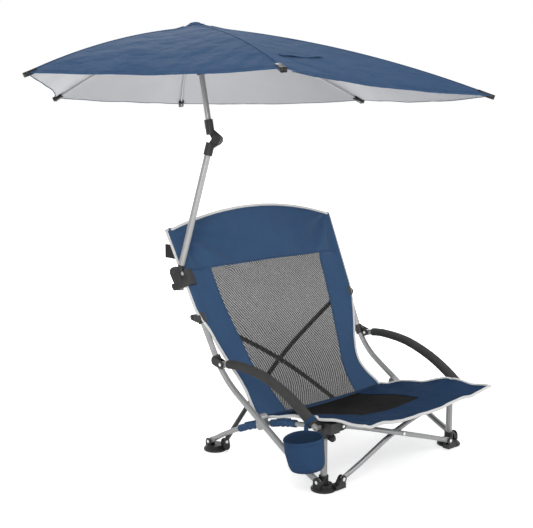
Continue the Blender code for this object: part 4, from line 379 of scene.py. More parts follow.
def woven(name, dark, light, pitch, turns, roughness=0.80, sheen=0.04, gloss=0.20, crease=0.010):
    """Plain cloth: crossing threads, a faint slub and slow changes of shade."""
    g, place = new_finish(name)
    weave = g.threads(place, pitch, turns)
    slub = g.noise(place, 420.0, 2.0)
    slow = g.noise(place, 9.0, 3.0)
    shade = g.math("ADD", g.math("MULTIPLY", weave, 0.34), g.math("MULTIPLY", slow, 0.66))
    g.set(
        Base_Color=g.mix(shade, dark, light),
        Roughness=g.ramp(slub, 0.2, 0.8, roughness - 0.06, roughness + 0.08),
        Sheen_Weight=sheen,
        Sheen_Roughness=0.5,
        Specular_IOR_Level=gloss,
    )
    creases = g.noise(place, 17.0, 2.0, 0.4)
    fine = g.bump(weave, 0.35, 0.00025)
    soft = g.bump(slow, 0.25, 0.004, fine)
    g.set(Normal=g.bump(creases, 0.55, crease, soft))
    return g.owner


def net(name, dark, light, pitch, turns, open_share):
    """Open net: threads that let what is behind it show between them."""
    g, place = new_finish(name)
    weave = g.threads(place, pitch, turns)
    cloudy = g.noise(place, 7.0, 2.0)
    g.set(
        Base_Color=g.mix(g.ramp(cloudy, 0.3, 0.7), dark, light),
        Roughness=0.90,
        Specular_IOR_Level=0.08,
        Alpha=g.ramp(weave, 0.12, 0.88, 1.0 - open_share * 2.0, 1.0),
        Normal=g.bump(weave, 0.5, 0.0004),
    )
    return g.owner


def moulded(name, dark, light, roughness, grain=1400.0, bump=0.00008):
    """Moulded plastic with a fine spark-eroded grain and slightly worn high spots."""
    g, place = new_finish(name)
    fine = g.noise(place, grain, 2.0)
    slow = g.noise(place, 35.0, 4.0)
    edge = g.add("ShaderNodeNewGeometry").outputs["Pointiness"]
    worn = g.ramp(edge, 0.52, 0.60)
    base = g.mix(slow, dark, light)
    g.set(
        Base_Color=g.mix(g.math("MULTIPLY", worn, 0.35), base, (0.10, 0.10, 0.10)),
        Roughness=g.ramp(slow, 0.3, 0.7, roughness - 0.06, roughness + 0.08),
        Specular_IOR_Level=0.24,
        Normal=g.bump(fine, 0.35, bump),
    )
    return g.owner


def coated_metal(name, dark, light, metallic, roughness):
    """Powder-coated or satin metal with faint orange peel and handling marks."""
    g, place = new_finish(name)
    peel = g.noise(place, 520.0, 2.0)
    marks = g.noise(place, 22.0, 5.0, 0.65)
    g.set(
        Base_Color=g.mix(marks, dark, light),
        Metallic=metallic,
        Roughness=g.ramp(marks, 0.35, 0.75, roughness - 0.05, roughness + 0.10),
        Normal=g.bump(peel, 0.12, 0.00015),
    )
    return g.owner


def foam(name):
    """Closed-cell foam: matt, with small pores."""
    g, place = new_finish(name)
    cells = g.add("ShaderNodeTexVoronoi", feature="F1", Vector=place, Scale=1500.0)
    slow = g.noise(place, 45.0, 3.0)
    g.set(
        Base_Color=g.mix(slow, (0.040, 0.040, 0.039), (0.062, 0.061, 0.060)),
        Roughness=0.92,
        Specular_IOR_Level=0.25,
        Normal=g.bump(cells.outputs["Distance"], 0.35, 0.0003),
    )
    return g.owner


def coated_cloth(name):
    """The sunshade's silver-grey coated underside, faintly glossy and uneven."""
    g, place = new_finish(name)
    weave = g.threads(place, 0.0011, (0.3, 0.2, 0.4))
    slow = g.noise(place, 11.0, 4.0)
    creases = g.noise(place, 34.0, 5.0, 0.6)
    g.set(
        Base_Color=g.mix(slow, (0.50, 0.505, 0.53), (0.62, 0.625, 0.645)),
        Roughness=g.ramp(slow, 0.3, 0.7, 0.42, 0.58),
        Metallic=0.15,
    )
    fine = g.bump(weave, 0.15, 0.0002)
    g.set(Normal=g.bump(creases, 0.30, 0.0022, fine))
    return g.owner


NAVY_TURNS = (0.62, 0.0, 0.0)
plastic = moulded("black_plastic", (0.010, 0.010, 0.011), (0.022, 0.022, 0.023), 0.42)
foot_plastic = moulded("foot_plastic", (0.008, 0.008, 0.009), (0.018, 0.018, 0.019), 0.36, 1100.0)
tube_metal = coated_metal("grey_tube", (0.265, 0.267, 0.270), (0.335, 0.338, 0.342), 0.5, 0.36)
# Painted shade: the rear cross tubes take the grey tubes' coating, darkened for the shadow behind the
# back
shaded_cross_metal = coated_metal("rear_tube_painted_shade", (0.045, 0.045, 0.046), (0.075, 0.075, 0.076), 0.35, 0.42)
pole_metal = coated_metal("pale_pole", (0.285, 0.285, 0.285), (0.375, 0.375, 0.375), 0.6, 0.32)
wire_metal = coated_metal("frame_wire", (0.34, 0.34, 0.35), (0.46, 0.46, 0.47), 0.75, 0.34)
rivet_metal = coated_metal("steel_rivet", (0.62, 0.62, 0.62), (0.78, 0.78, 0.78), 0.8, 0.28)
foam_grip = foam("foam_grip")
navy = woven("navy_cloth", (0.022, 0.058, 0.128), (0.042, 0.094, 0.190), 0.0013, NAVY_TURNS)
navy_top = woven(
    "canopy_cloth", (0.030, 0.072, 0.158), (0.052, 0.108, 0.212), 0.0010, (0.2, 0.1, 0.3),
    sheen=0.0, gloss=0.10, crease=0.026,
)
navy_dark = woven("navy_lining", (0.010, 0.026, 0.060), (0.018, 0.042, 0.090), 0.0013, NAVY_TURNS)
thread = woven("navy_thread", (0.014, 0.034, 0.075), (0.024, 0.054, 0.110), 0.0006, NAVY_TURNS)
# Painted shade: the seat's cloth is the back's navy, darkened for the shadow that the canopy and the back
# cast over the seat
shaded_seat_navy = woven(
    "seat_cloth", (0.008, 0.026, 0.066), (0.018, 0.050, 0.114), 0.0013, NAVY_TURNS,
    roughness=0.86, sheen=0.0, gloss=0.08,
)
# Painted shade: the cup holder's cloth is the same navy, darkened halfway to the seat's painted shade
shaded_cup_navy = woven(
    "cup_cloth", (0.014, 0.040, 0.094), (0.029, 0.070, 0.148), 0.0013, NAVY_TURNS,
    roughness=0.82, sheen=0.0, gloss=0.14,
)
piping = woven(
    "pale_piping", (0.58, 0.58, 0.57), (0.78, 0.78, 0.76), 0.0014, (0.7, 0.3, 0.5),
    roughness=0.7, sheen=0.15,
)
webbing = woven("black_webbing", (0.010, 0.010, 0.011), (0.030, 0.030, 0.031), 0.0022, (0.0, 1.2, 0.3))
silver = coated_cloth("silver_cloth")
grey_net = net("grey_net", (0.034, 0.034, 0.033), (0.046, 0.046, 0.045), 0.0028, (0.62, 0.0, 0.55), 0.36)
black_net = net("black_net", (0.006, 0.006, 0.006), (0.011, 0.011, 0.011), 0.0034, (0.1, 0.0, 0.55), 0.02)

# A node takes the first finish that has the start of its name
CAD_FINISHES = (
    (foot_plastic, ("foot_",)),
    (plastic, ("bracket_", "rear_clip", "arm_clip", "clamp_", "pole_base", "elbow_", "hub", "runner")),
    (rivet_metal, ("front_cross_rivet", "rear_cross_rivet")),
    (tube_metal, ("side_pivot", "post_", "leg_", "front_cross", "side_tube", "arm_tube")),
    # The rear cross tubes take the grey coating darkened as painted shade
    (shaded_cross_metal, ("rear_cross",)),
    (foam_grip, ("arm_grip",)),
    (pole_metal, ("lower_pole", "upper_pole")),
    (wire_metal, ("rib_", "stretcher_")),
)

# Pin heads that show as bright metal: place, axis and half the fork's depth
LEAN_AXIS = Vector((0.0, -0.374, 0.066)).normalized()
PINS = {
    "foot_front": (
        ((0.2915, 0.0, 0.026), X_AXIS, 0.0086),
        ((0.2325, -0.030, 0.028), Y_AXIS, 0.0075),
    ),
    "foot_rear": (
        ((0.283, 0.455, 0.026), X_AXIS, 0.0076),
        ((0.259, 0.415, 0.028), LEAN_AXIS, 0.0070),
    ),
    "bracket_front": (((0.2365, -0.030, 0.176), Y_AXIS, 0.0075),),
    "arm_clip": (((0.309, 0.3685, 0.280), X_AXIS, 0.0081),),
}
PIN_HEAD_RADIUS = 0.0056
PIN_HEAD_START = 0.0003
PIN_HEAD_END = 0.0030


def mark_rivets():
    """Give the pins' heads, which are part of the plastic pieces, their metal."""
    for name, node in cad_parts.items():
        for start, pins in PINS.items():
            if not name.startswith(start):
                continue
            side = 1.0 if name.endswith("left") else -1.0
            mesh = node.data
            mesh.materials.append(rivet_metal)
            for face in mesh.polygons:
                centre = node.matrix_world @ face.center - SHIFT
                centre.x *= side
                for place, axis, half in pins:
                    away = centre - Vector(place)
                    along = away.dot(axis)
                    near_head = half + PIN_HEAD_START < abs(along) < half + PIN_HEAD_END
                    if near_head and (away - axis * along).length < PIN_HEAD_RADIUS:
                        face.material_index = len(mesh.materials) - 1


def dress_frame():
    for name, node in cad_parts.items():
        for material, starts in CAD_FINISHES:
            if name.startswith(starts):
                for slot in node.material_slots:
                    slot.material = material
                break


# Mesh helpers


def spaced(low, high, count):
    """Even values from low to high, with count steps between them."""
    return [low + (high - low) * n / count for n in range(count + 1)]


def angles_round(count):
    """Even angles round a circle."""
    return [2.0 * math.pi * k / count for k in range(count)]


def path_length(path):
    return sum((b - a).length for a, b in zip(path, path[1:]))


def square_to(axis, guide):
    """The direction nearest to a guide that is square to an axis."""
    return (guide - axis * axis.dot(guide)).normalized()


def ring(place, axis, radius, sides):
    """Points round an axis, at the radius that a rule gives for each angle."""
    first = square_to(axis, X_AXIS)
    second = axis.cross(first)
    points = []
    for angle in angles_round(sides):
        points.append(place + (first * math.cos(angle) + second * math.sin(angle)) * radius(angle))
    return points


def tube_faces(rings, sides, closed=False):
    """The wall through rings of points, and two flat ends unless the tube is closed."""
    faces = []
    for n in range(rings if closed else rings - 1):
        a, b = n * sides, (n + 1) % rings * sides
        for k in range(sides):
            m = (k + 1) % sides
            faces.append((a + k, a + m, b + m, b + k))
    if not closed:
        faces.append(tuple(reversed(range(sides))))
        faces.append(tuple(range((rings - 1) * sides, rings * sides)))
    return faces


def add_object(name, mesh, materials):
    item = bpy.data.objects.new(name, mesh)
    for material in materials:
        mesh.materials.append(material)
    bpy.context.scene.collection.objects.link(item)
    mesh.shade_smooth()
    return item


def build(name, verts, faces, materials, indices=None, normals=None):
    mesh = bpy.data.meshes.new(name)
    mesh.from_pydata([tuple(v + SHIFT) for v in verts], [], faces)
    if indices is not None:
        mesh.polygons.foreach_set("material_index", indices)
    item = add_object(name, mesh, materials)
    if normals is not None:
        mesh.normals_split_custom_set_from_vertices([tuple(n) for n in normals])
    return item


def sheet_mesh(name, grid, normals, thickness, materials):
    """A thin closed sheet on a grid of points: front face, back face and rim."""
    rows, columns = len(grid), len(grid[0])
    verts, shown = [], []
    for side in (1.0, -1.0):
        for line, line_normals in zip(grid, normals):
            for point, normal in zip(line, line_normals):
                verts.append(point + normal * (side * thickness / 2.0))
                shown.append(normal * side)
    layer = rows * columns
    back_look = min(1, len(materials) - 1)
    rim_look = min(2, len(materials) - 1)

    def key(r, c):
        return r * columns + c

    faces, indices = [], []
    for r in range(rows - 1):
        for c in range(columns - 1):
            loop = (key(r, c), key(r, c + 1), key(r + 1, c + 1), key(r + 1, c))
            faces += [loop, tuple(layer + k for k in reversed(loop))]
            indices += [0, back_look]
    border = [(key(0, c), key(0, c + 1)) for c in range(columns - 1)]
    border += [(key(rows - 1, c + 1), key(rows - 1, c)) for c in range(columns - 1)]
    border += [(key(r + 1, 0), key(r, 0)) for r in range(rows - 1)]
    border += [(key(r, columns - 1), key(r + 1, columns - 1)) for r in range(rows - 1)]
    for a, b in border:
        faces.append((b, a, layer + a, layer + b))
        indices.append(rim_look)
    return build(name, verts, faces, materials, indices, shown)


def grid_normals(grid, wrap=False):
    """The direction square to a grid at each point; a wrapped grid's rows are closed."""
    normals = []
    for line, above, below in zip(grid, grid[:1] + grid[:-1], grid[1:] + grid[-1:]):
        before = (line[-1:] if wrap else line[:1]) + line[:-1]
        after = line[1:] + (line[:1] if wrap else line[-1:])
        places = zip(before, after, above, below)
        normals.append([(b - a).cross(d - c).normalized() for a, b, c, d in places])
    return normals


def piped(name, path, radius, material, sides=8, closed=False, squash=1.0, up=Z_AXIS):
    """A thin tube along a path, with flat ends."""
    verts = []
    count = len(path)
    for n, point in enumerate(path):
        if closed:
            ahead = path[(n + 1) % count] - path[n - 1]
        else:
            ahead = path[min(n + 1, count - 1)] - path[max(n - 1, 0)]
        ahead.normalize()
        first = up.cross(ahead)
        if first.length < 1e-6:
            first = X_AXIS.cross(ahead)
        first.normalize()
        second = ahead.cross(first) * squash
        for angle in angles_round(sides):
            verts.append(point + (first * math.cos(angle) + second * math.sin(angle)) * radius)
    return build(name, verts, tube_faces(count, sides, closed), [material])


def ribbon(name, path, across, width, thickness, material):
    """A flat strap along a path, its width along one direction."""
    verts = []
    count = len(path)
    for n, point in enumerate(path):
        ahead = (path[min(n + 1, count - 1)] - path[max(n - 1, 0)]).normalized()
        side = square_to(ahead, across)
        up = ahead.cross(side)
        verts += [point + side * (a * width) + up * (b * thickness) for a, b in RIBBON_OUTLINE]
    return build(name, verts, tube_faces(count, len(RIBBON_OUTLINE)), [material])


def stitches(name, lines):
    """Short thread dashes along lines of (place, normal)."""
    verts, faces = [], []
    for line in lines:
        travelled = 0.0
        for (a, normal_a), (b, normal_b) in zip(line, line[1:]):
            run = (b - a).length
            if run < 1e-7:
                continue
            position = 0.0
            while position < run:
                phase = (travelled + position) % (STITCH_LENGTH + STITCH_GAP)
                if phase < STITCH_LENGTH:
                    step = min(STITCH_LENGTH - phase, run - position)
                    if step > SHORTEST_STITCH:
                        p = a.lerp(b, position / run)
                        q = a.lerp(b, (position + step) / run)
                        up = normal_a.lerp(normal_b, position / run).normalized()
                        side = (q - p).normalized().cross(up) * STITCH_RADIUS
                        rise = up * STITCH_RADIUS
                        faces += [tuple(len(verts) + k for k in face) for face in STITCH_FACES]
                        verts += [p - side, p + side, q + side, q - side]
                        verts += [p.lerp(q, STITCH_SLOPE) + rise, q.lerp(p, STITCH_SLOPE) + rise]
                    position += step
                else:
                    position += STITCH_LENGTH + STITCH_GAP - phase
                position += 1e-6
            travelled += run
    return build(name, verts, faces, [thread])


# Sling


def cubic(a, b, c, d, t):
    """A smooth curve from b to c, with a and d as the places before and after them."""
    bend = a * 2.0 - b * 5.0 + c * 4.0 - d
    twist = b * 3.0 - a - c * 3.0 + d
    return (b * 2.0 + (c - a) * t + bend * t**2 + twist * t**3) / 2.0


def sling_rows():
    """The control rows from the top of the back down to the front of the seat."""
    rows = []
    for height, depth, edge_depth, edge, window, crown in reversed(BACK_ROW_SHARES):
        rows.append((
            depth * SLING_DEPTH, (height + crown) * SLING_TOP,
            edge_depth * SLING_DEPTH, height * SLING_TOP,
            edge * SLING_HALF_WIDTH, window * SLING_HALF_WIDTH, BACK_CURVE, 2.0,
        ))
    for depth, height, edge_depth, edge_height, edge, window in SEAT_ROW_SHARES:
        rows.append((
            depth * SEAT_REACH, height * SEAT_HEIGHT,
            edge_depth * SEAT_REACH, edge_height * SEAT_HEIGHT,
            edge * SLING_HALF_WIDTH, window * SLING_HALF_WIDTH, 2.0, SEAT_CURVE,
        ))
    return rows


ROWS = sling_rows()


def row_values(row):
    index = min(int(row), len(ROWS) - 2)
    t = row - index
    picked = [ROWS[min(max(index + k, 0), len(ROWS) - 1)] for k in (-1, 0, 1, 2)]
    return [cubic(*values, t) for values in zip(*picked)]


def bare_sling(row, share):
    middle_y, middle_z, edge_y, edge_z, edge, _, curve_y, curve_z = row_values(row)
    lean = abs(share)
    y = middle_y + (edge_y - middle_y) * lean**curve_y
    z = middle_z + (edge_z - middle_z) * lean**curve_z
    return Vector((share * edge, y, z))


def window_share(row):
    values = row_values(row)
    return values[5] / values[4]


def sling_normal(row, share):
    """The side of the sling that faces the sitter."""
    along = bare_sling(min(row + 0.1, LAST_ROW), share) - bare_sling(max(row - 0.1, 0.0), share)
    across = bare_sling(row, min(share + 0.03, 1.0)) - bare_sling(row, max(share - 0.03, -1.0))
    return along.cross(across).normalized()


def smooth_step(low, high, value):
    t = min(max((value - low) / (high - low), 0.0), 1.0)
    return t * t * (3.0 - 2.0 * t)


def near(value, centre, width):
    """1 at a centre, and fading away from it."""
    return math.exp(-((value - centre) / width) ** 2)


def wrinkle(row, share):
    """How far the cloth stands off its plain shape: soft folds that run from where it is held."""
    point = bare_sling(row, share)
    aside = abs(share)

    # Fans from the two top corners, and upright folds between them
    fold = 0.0
    for corner, tilt in ((-1.0, 1.15), (1.0, -1.15)):
        dx = point.x - corner * FAN_X
        dz = point.z - FAN_Z
        angle = math.atan2(-dz, -dx * corner)
        fold += FAN_FOLD * math.sin(angle * 9.0 + tilt) * near(math.hypot(dx, dz), FAN_REACH, FAN_WIDTH)
    fold += 0.0022 * math.sin(point.x * 31.0 + 0.8)
    fold += 0.0012 * math.sin(point.x * 63.0 + point.z * 14.0)
    fold *= (1.0 - smooth_step(1.2, 2.6, row)) * smooth_step(0.0, 0.35, row)

    # Slanted folds below the top panel
    below = near(row, 2.25, 0.35) * near(share, -0.35, 0.28)
    fold += 0.0035 * below * math.sin(point.x * 40.0 + point.z * 55.0)

    # Where the back turns into the seat, along the seat's sides, and along its front
    turn = near(row, 9.6, 1.0) * smooth_step(0.55, 0.85, aside)
    fold += 0.0030 * turn * math.sin(row * 5.5 + share * 9.0)
    seat = smooth_step(10.0, 11.5, row) * smooth_step(0.50, 0.75, aside)
    fold += 0.0022 * seat * math.sin(row * 4.2 + aside * 16.0 + share)
    front = smooth_step(14.2, 15.2, row)
    fold += front * (0.0013 * math.sin(share * 11.0 + row * 1.3) + 0.0005 * math.sin(share * 31.0 + 1.0))

    fold += noise.noise(point * 26.0) * 0.0012
    fold += noise.noise(point * 60.0 + Vector((3.0, 7.0, 1.0))) * 0.0005
    held = 1.0 - smooth_step(0.93, 1.0, aside) * (1.0 - smooth_step(4.0, 6.0, row))
    return fold * held


def sling(row, share):
    return bare_sling(row, share) + sling_normal(row, share) * wrinkle(row, share)


def post_centre(side, height):
    share = (height - POST_KNEE.z) / (POST_TOP.z - POST_KNEE.z)
    place = POST_KNEE.lerp(POST_TOP, share)
    return Vector((side * place.x, place.y, place.z))


def post_axis(side):
    run = POST_TOP - POST_KNEE
    return Vector((side * run.x, run.y, run.z)).normalized()


def wrapped_edge(row, side, turn):
    """Past the sling's edge: round the post where the sleeve is, or a narrow hem below it."""
    edge = sling(row, side)
    normal = sling_normal(row, side)
    hem = edge + square_to(normal, X_AXIS * side) * HEM_WIDTH * turn
    if row > SLEEVE_ROWS[1]:
        return hem
    axis = post_axis(side)
    front = square_to(axis, normal)
    aside = square_to(axis, X_AXIS * side)
    angle = WRAP_ANGLE * turn
    away = (front * math.cos(angle) + aside * math.sin(angle)) * (SLEEVE_RADIUS + CLOTH)
    return (post_centre(side, edge.z) + away).lerp(hem, smooth_step(*SLEEVE_ROWS, row))


def edge_line(row, side):
    """The places past the sling's edge, outward."""
    return [wrapped_edge(row, side, turn) for turn in spaced(0.0, 1.0, WRAP_STEPS)[1:]]


def piping_place(row, side):
    """The corded edge stands on the outer side of the sleeve."""
    place = wrapped_edge(row, side, PIPING_TURN)
    if row > SLEEVE_ROWS[1]:
        return place
    away = (place - post_centre(side, place.z)).normalized()
    return place + away * (EDGE_PIPING * 0.45 * (1.0 - smooth_step(*SLEEVE_ROWS, row)))


def facing_sheet(name, grid, thickness, material, wanted):
    """A thin sheet whose front is the side that faces a wanted direction."""
    normals = grid_normals(grid)
    middle = normals[len(normals) // 2][len(normals[0]) // 2]
    if middle.dot(wanted) < 0.0:
        grid = [line[::-1] for line in grid]
        normals = grid_normals(grid)
    return sheet_mesh(name, grid, normals, thickness, [material])


def joined(name, pieces):
    """Several meshes as one object."""
    bpy.context.view_layer.update()
    shape = bmesh.new()
    materials = []
    for piece in pieces:
        start = len(shape.faces)
        shape.from_mesh(piece.data)
        shape.faces.ensure_lookup_table()
        slots = []
        for material in piece.data.materials:
            if material not in materials:
                materials.append(material)
            slots.append(materials.index(material))
        for face in list(shape.faces)[start:]:
            face.material_index = slots[face.material_index]
    mesh = bpy.data.meshes.new(name)
    shape.to_mesh(mesh)
    shape.free()
    for piece in pieces:
        old = piece.data
        bpy.data.objects.remove(piece)
        bpy.data.meshes.remove(old)
    return add_object(name, mesh, materials)


def sheet_sizes(grid):
    """Width and length, measured along the middle of a grid."""
    return path_length(grid[len(grid) // 2]), path_length([line[len(line) // 2] for line in grid])


def one_side_area(item):
    return sum(face.area for face in item.data.polygons) / 2.0


# The sitter's side of the sling
FACING = Vector((0.0, -0.8, 0.6))


def on_sling(item, tube):
    """The sling's pieces ride a tube, each with a mesh of its own."""
    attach(item, tube)
    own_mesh(item)


def margin(name, span, side, wrap, cloth):
    """One side's navy margin, from the window's edge out to the hem or sleeve."""
    grid = []
    for row in spaced(*span):
        line = [sling(row, side * share) for share in spaced(window_share(row), 1.0, MARGIN_COLUMNS)]
        if wrap:
            line += edge_line(row, side)
        grid.append(line)
    return facing_sheet(name, grid, CLOTH, cloth, FACING)


def make_net(name, low, high, steps, material, facing):
    """The net in a window, lapped past its edges and sunk behind the cloth; also its flat size."""
    rows, columns = steps
    grid = []
    for row in spaced(low, high, rows):
        edge = window_share(row) + NET_LAP
        grid.append([sling(row, share) for share in spaced(-edge, edge, columns)])
    sunk = [[point - facing * NET_SINK for point in line] for line in grid]
    return facing_sheet(name, sunk, NET, material, facing), sheet_sizes(grid)


def lifted(row, share, up=STITCH_LIFT):
    """A place just over the cloth on the sitter's side, and the direction away from the cloth."""
    normal = sling_normal(row, share)
    if normal.dot(FACING) < 0.0:
        normal = -normal
    return sling(row, share) + normal * up, normal


def sewn_down(share, low, high, count):
    return [lifted(row, share) for row in spaced(low, high, count)]


def sewn_across(row, low, high, count):
    return [lifted(row, share) for share in spaced(low, high, count)]


def sewn_beside_window(side, inset, low, high, count):
    return [lifted(row, side * (window_share(row) + inset)) for row in spaced(low, high, count)]


def make_back():
    top = []
    rows, columns = TOP_GRID
    for row in spaced(0.0, BACK_WINDOW_ROW, rows):
        middle = [sling(row, share) for share in spaced(-1.0, 1.0, columns)]
        top.append(edge_line(row, -1.0)[::-1] + middle + edge_line(row, 1.0))
    pieces = [facing_sheet("top_panel", top, CLOTH, navy, FACING)]
    span = (BACK_WINDOW_ROW, JOIN_ROW, BACK_MARGIN_ROWS)
    for side in (-1.0, 1.0):
        pieces.append(margin("back_margin", span, side, True, navy))
    cloth = joined("back_cloth", pieces)
    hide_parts("back_panel")
    on_sling(cloth, "post_right")

    low = BACK_WINDOW_ROW - NET_OVERLAP_ROWS
    mesh, flat = make_net("back_net", low, JOIN_ROW, BACK_NET_GRID, grey_net, FACING)
    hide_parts("back_mesh")
    one_side_area(mesh)
    on_sling(mesh, "post_right")

    rows, columns = BACK_PIPING_GRID
    edge = [piping_place(row, -1.0) for row in spaced(JOIN_ROW, 0.0, rows)[:-1]]
    edge += [sling(0.0, share) + Z_AXIS * TOP_PIPING_LIFT for share in spaced(-1.0, 1.0, columns)]
    edge += [piping_place(row, 1.0) for row in spaced(0.0, JOIN_ROW, rows)[1:]]
    trim = piped("back_piping", edge, EDGE_PIPING, piping, PIPING_SIDES)
    on_sling(trim, "post_right")

    lines = []
    corner = window_share(BACK_WINDOW_ROW)
    for side in (-1.0, 1.0):
        for inset in BACK_SEWN_INSETS:
            lines.append(sewn_beside_window(side, inset, BACK_WINDOW_ROW, JOIN_ROW, 90))
        lines.append(sewn_down(side * BACK_SEWN_EDGE, 0.1, JOIN_ROW, 110))
        for row in (BACK_WINDOW_ROW, BACK_SEWN_ROWS[0]):
            lines.append(sewn_across(row, side * corner, side * 0.99, 12))
    lines += [sewn_across(row, -BACK_SEWN_END, BACK_SEWN_END, 60) for row in BACK_SEWN_ROWS]
    sewn = stitches("back_stitching", lines)
    on_sling(sewn, "post_right")
    make_post_sleeves()


def make_post_sleeves():
    """The sleeves' own walls round the posts, between the clips and the clamp."""
    pieces = []
    for side, spans in SLEEVE_SPANS.items():
        axis = post_axis(side)
        for low, high in spans:
            stations = []
            for height in spaced(low, high, SLEEVE_STEPS):
                radius = SLEEVE_RADIUS + 0.0004 + 0.0007 * math.sin(height * 170.0 + side)
                stations.append((post_centre(side, height), radius))
            if high > POST_TOP.z:
                for turn in spaced(0.0, math.pi / 2.0, 4)[1:]:
                    place = post_centre(side, high) + axis * (SLEEVE_END_RISE * math.sin(turn))
                    stations.append((place, SLEEVE_RADIUS * math.cos(turn * 0.93)))
            pieces.append(post_sleeve(stations, axis))
    sleeves = joined("post_sleeves", pieces)
    on_sling(sleeves, "post_right")


def post_sleeve(stations, axis):
    """A faintly rippled sleeve through places and radii along an axis."""
    verts = []
    for n, (place, radius) in enumerate(stations):

        def rippled(angle):
            ripple = 0.018 * math.sin(angle * 3.0 + n * 0.4) + 0.012 * math.sin(angle * 5.0 - n * 0.7)
            return radius * (1.0 + ripple)

        verts += ring(place, axis, rippled, SLEEVE_SIDES)
    return build("sleeve", verts, tube_faces(len(stations), SLEEVE_SIDES), [navy])


def make_seat():
    pieces = []
    low = JOIN_ROW - NET_OVERLAP_ROWS
    span = (low, SEAT_WINDOW_ROW, SEAT_MARGIN_ROWS)
    # The seat's margins and front take the navy darkened as painted shade
    for side in (-1.0, 1.0):
        pieces.append(margin("seat_margin", span, side, False, shaded_seat_navy))
    front = []
    rows, columns = FRONT_GRID
    for row in spaced(SEAT_WINDOW_ROW, LAST_ROW, rows):
        front.append([sling(row, share) for share in spaced(-1.0, 1.0, columns)])
    pieces.append(facing_sheet("front_panel", front, CLOTH, shaded_seat_navy, Z_AXIS))
    cloth = joined("seat_cloth", pieces)
    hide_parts("seat_panel")
    on_sling(cloth, "side_tube_right")

    high = SEAT_WINDOW_ROW + NET_OVERLAP_ROWS
    mesh, flat = make_net("seat_net", low, high, SEAT_NET_GRID, black_net, Z_AXIS)
    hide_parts("seat_mesh")
    one_side_area(mesh)
    on_sling(mesh, "side_tube_right")

    edge = [sling(row, -1.0) for row in spaced(JOIN_ROW, LAST_ROW, SEAT_PIPING_STEPS)]
    front_shares = spaced(-SEAT_END_SHARE, SEAT_END_SHARE, SEAT_PIPING_STEPS)
    edge += [sling(LAST_ROW, share) for share in front_shares]
    edge += [sling(row, 1.0) for row in spaced(LAST_ROW, JOIN_ROW, SEAT_PIPING_STEPS)]
    trim = piped("seat_piping", edge, EDGE_PIPING, piping, PIPING_SIDES)
    on_sling(trim, "side_tube_right")

    lines = []
    for side in (-1.0, 1.0):
        for inset in SEAT_SEWN_INSETS:
            lines.append(sewn_beside_window(side, inset, JOIN_ROW, SEAT_WINDOW_ROW, 60))
        lines.append(sewn_down(side * SEAT_SEWN_EDGE, JOIN_ROW, 15.9, 80))
    corner = window_share(SEAT_WINDOW_ROW)
    lines += [sewn_across(row, -corner, corner, 40) for row in WINDOW_SEWN_ROWS]
    lines += [sewn_across(row, -SEAT_SEWN_END, SEAT_SEWN_END, 80) for row in FRONT_SEWN_ROWS]
    sewn = stitches("seat_stitching", lines)
    on_sling(sewn, "side_tube_right")

    rows, columns = SEAM_GRID
    shares = spaced(-SEAT_END_SHARE, SEAT_END_SHARE, columns)
    band = []
    for row in spaced(JOIN_ROW - SEAM_HALF_ROWS, JOIN_ROW + SEAM_HALF_ROWS, rows):
        band.append([lifted(row, share, SEAM_LIFT)[0] for share in shares])
    seam = facing_sheet("sling_seam", band, SEAM_THICKNESS, navy_dark, FACING)
    on_sling(seam, "side_tube_right")


def side_at(side, share):
    """A place on the side tube: the circle through its three points."""
    a = SIDE_REAR - SIDE_PIVOT
    b = SIDE_FRONT - SIDE_PIVOT
    normal = a.cross(b)
    centre = (b * a.length_squared - a * b.length_squared).cross(normal)
    centre = SIDE_PIVOT + centre / (2.0 * normal.length_squared)
    first, last = SIDE_REAR - centre, SIDE_FRONT - centre
    place = centre + Matrix.Rotation(first.angle(last) * share, 3, first.cross(last).normalized()) @ first
    return Vector((side * place.x, place.y, place.z))


def side_sleeve(side, low, high):
    """One gathered sleeve on a side tube, with its cuffs and the hem on top."""
    verts = []
    for n, share in enumerate(spaced(low, high, SIDE_SLEEVE_STEPS)):

        def puffed(angle):
            puff = 0.0011 * math.sin(n * 0.9 + angle * 2.0) + 0.0008 * math.sin(n * 1.7 - angle * 3.0)
            return SIDE_RADIUS + SIDE_SLEEVE_WALL + puff * math.sin(math.pi * n / SIDE_SLEEVE_STEPS)

        axis = (side_at(side, share + 0.01) - side_at(side, share - 0.01)).normalized()
        verts += ring(side_at(side, share), axis, puffed, SIDE_SLEEVE_SIDES)
    pieces = [build("sleeve", verts, tube_faces(SIDE_SLEEVE_STEPS + 1, SIDE_SLEEVE_SIDES), [navy])]
    for share in (low, high):
        cuff = [side_at(side, share + shift) for shift in CUFF_SHIFTS]
        pieces.append(piped("cuff", cuff, SIDE_RADIUS + CUFF_WALL, navy, 20))
    middle = (low + high) / 2.0
    reach = (high - low) * 0.32
    top = Z_AXIS * (SIDE_RADIUS + 0.004)
    hem = [side_at(side, share) + top for share in spaced(middle - reach, middle + reach, 8)]
    pieces.append(piped("hem", hem, 0.0042, navy, 10, squash=0.7))
    return pieces


def make_side_sleeves():
    for label, side in (("right", -1.0), ("left", 1.0)):
        pieces = []
        for low, high in SIDE_SLEEVE_SHARES:
            pieces += side_sleeve(side, low, high)
        sleeve = joined(f"side_sleeve_cloth_{label}", pieces)
        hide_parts(f"side_sleeve_{label}")
        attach(sleeve, f"side_tube_{label}")


# Cup holder and tab


def arm_at(share):
    """A place on the right arm's centre line."""
    points = []
    y, z = ARM_PIVOT
    for forward, rise in ARM_CURVE_SHARES:
        points.append(Vector((-ARM_X, y - forward * ARM_REACH, z + rise * ARM_REACH)))
    padded = [points[0] * 2.0 - points[1], *points, points[-1] * 2.0 - points[-2]]
    fine = []
    for a, b, c, d in zip(padded, padded[1:], padded[2:], padded[3:]):
        fine += [cubic(a, b, c, d, k / 6) for k in range(6)]
    fine.append(points[-1])
    left = share * path_length(fine)
    for a, b in zip(fine, fine[1:]):
        run = (b - a).length
        if left <= run:
            return a.lerp(b, left / run)
        left -= run
    return fine[-1]


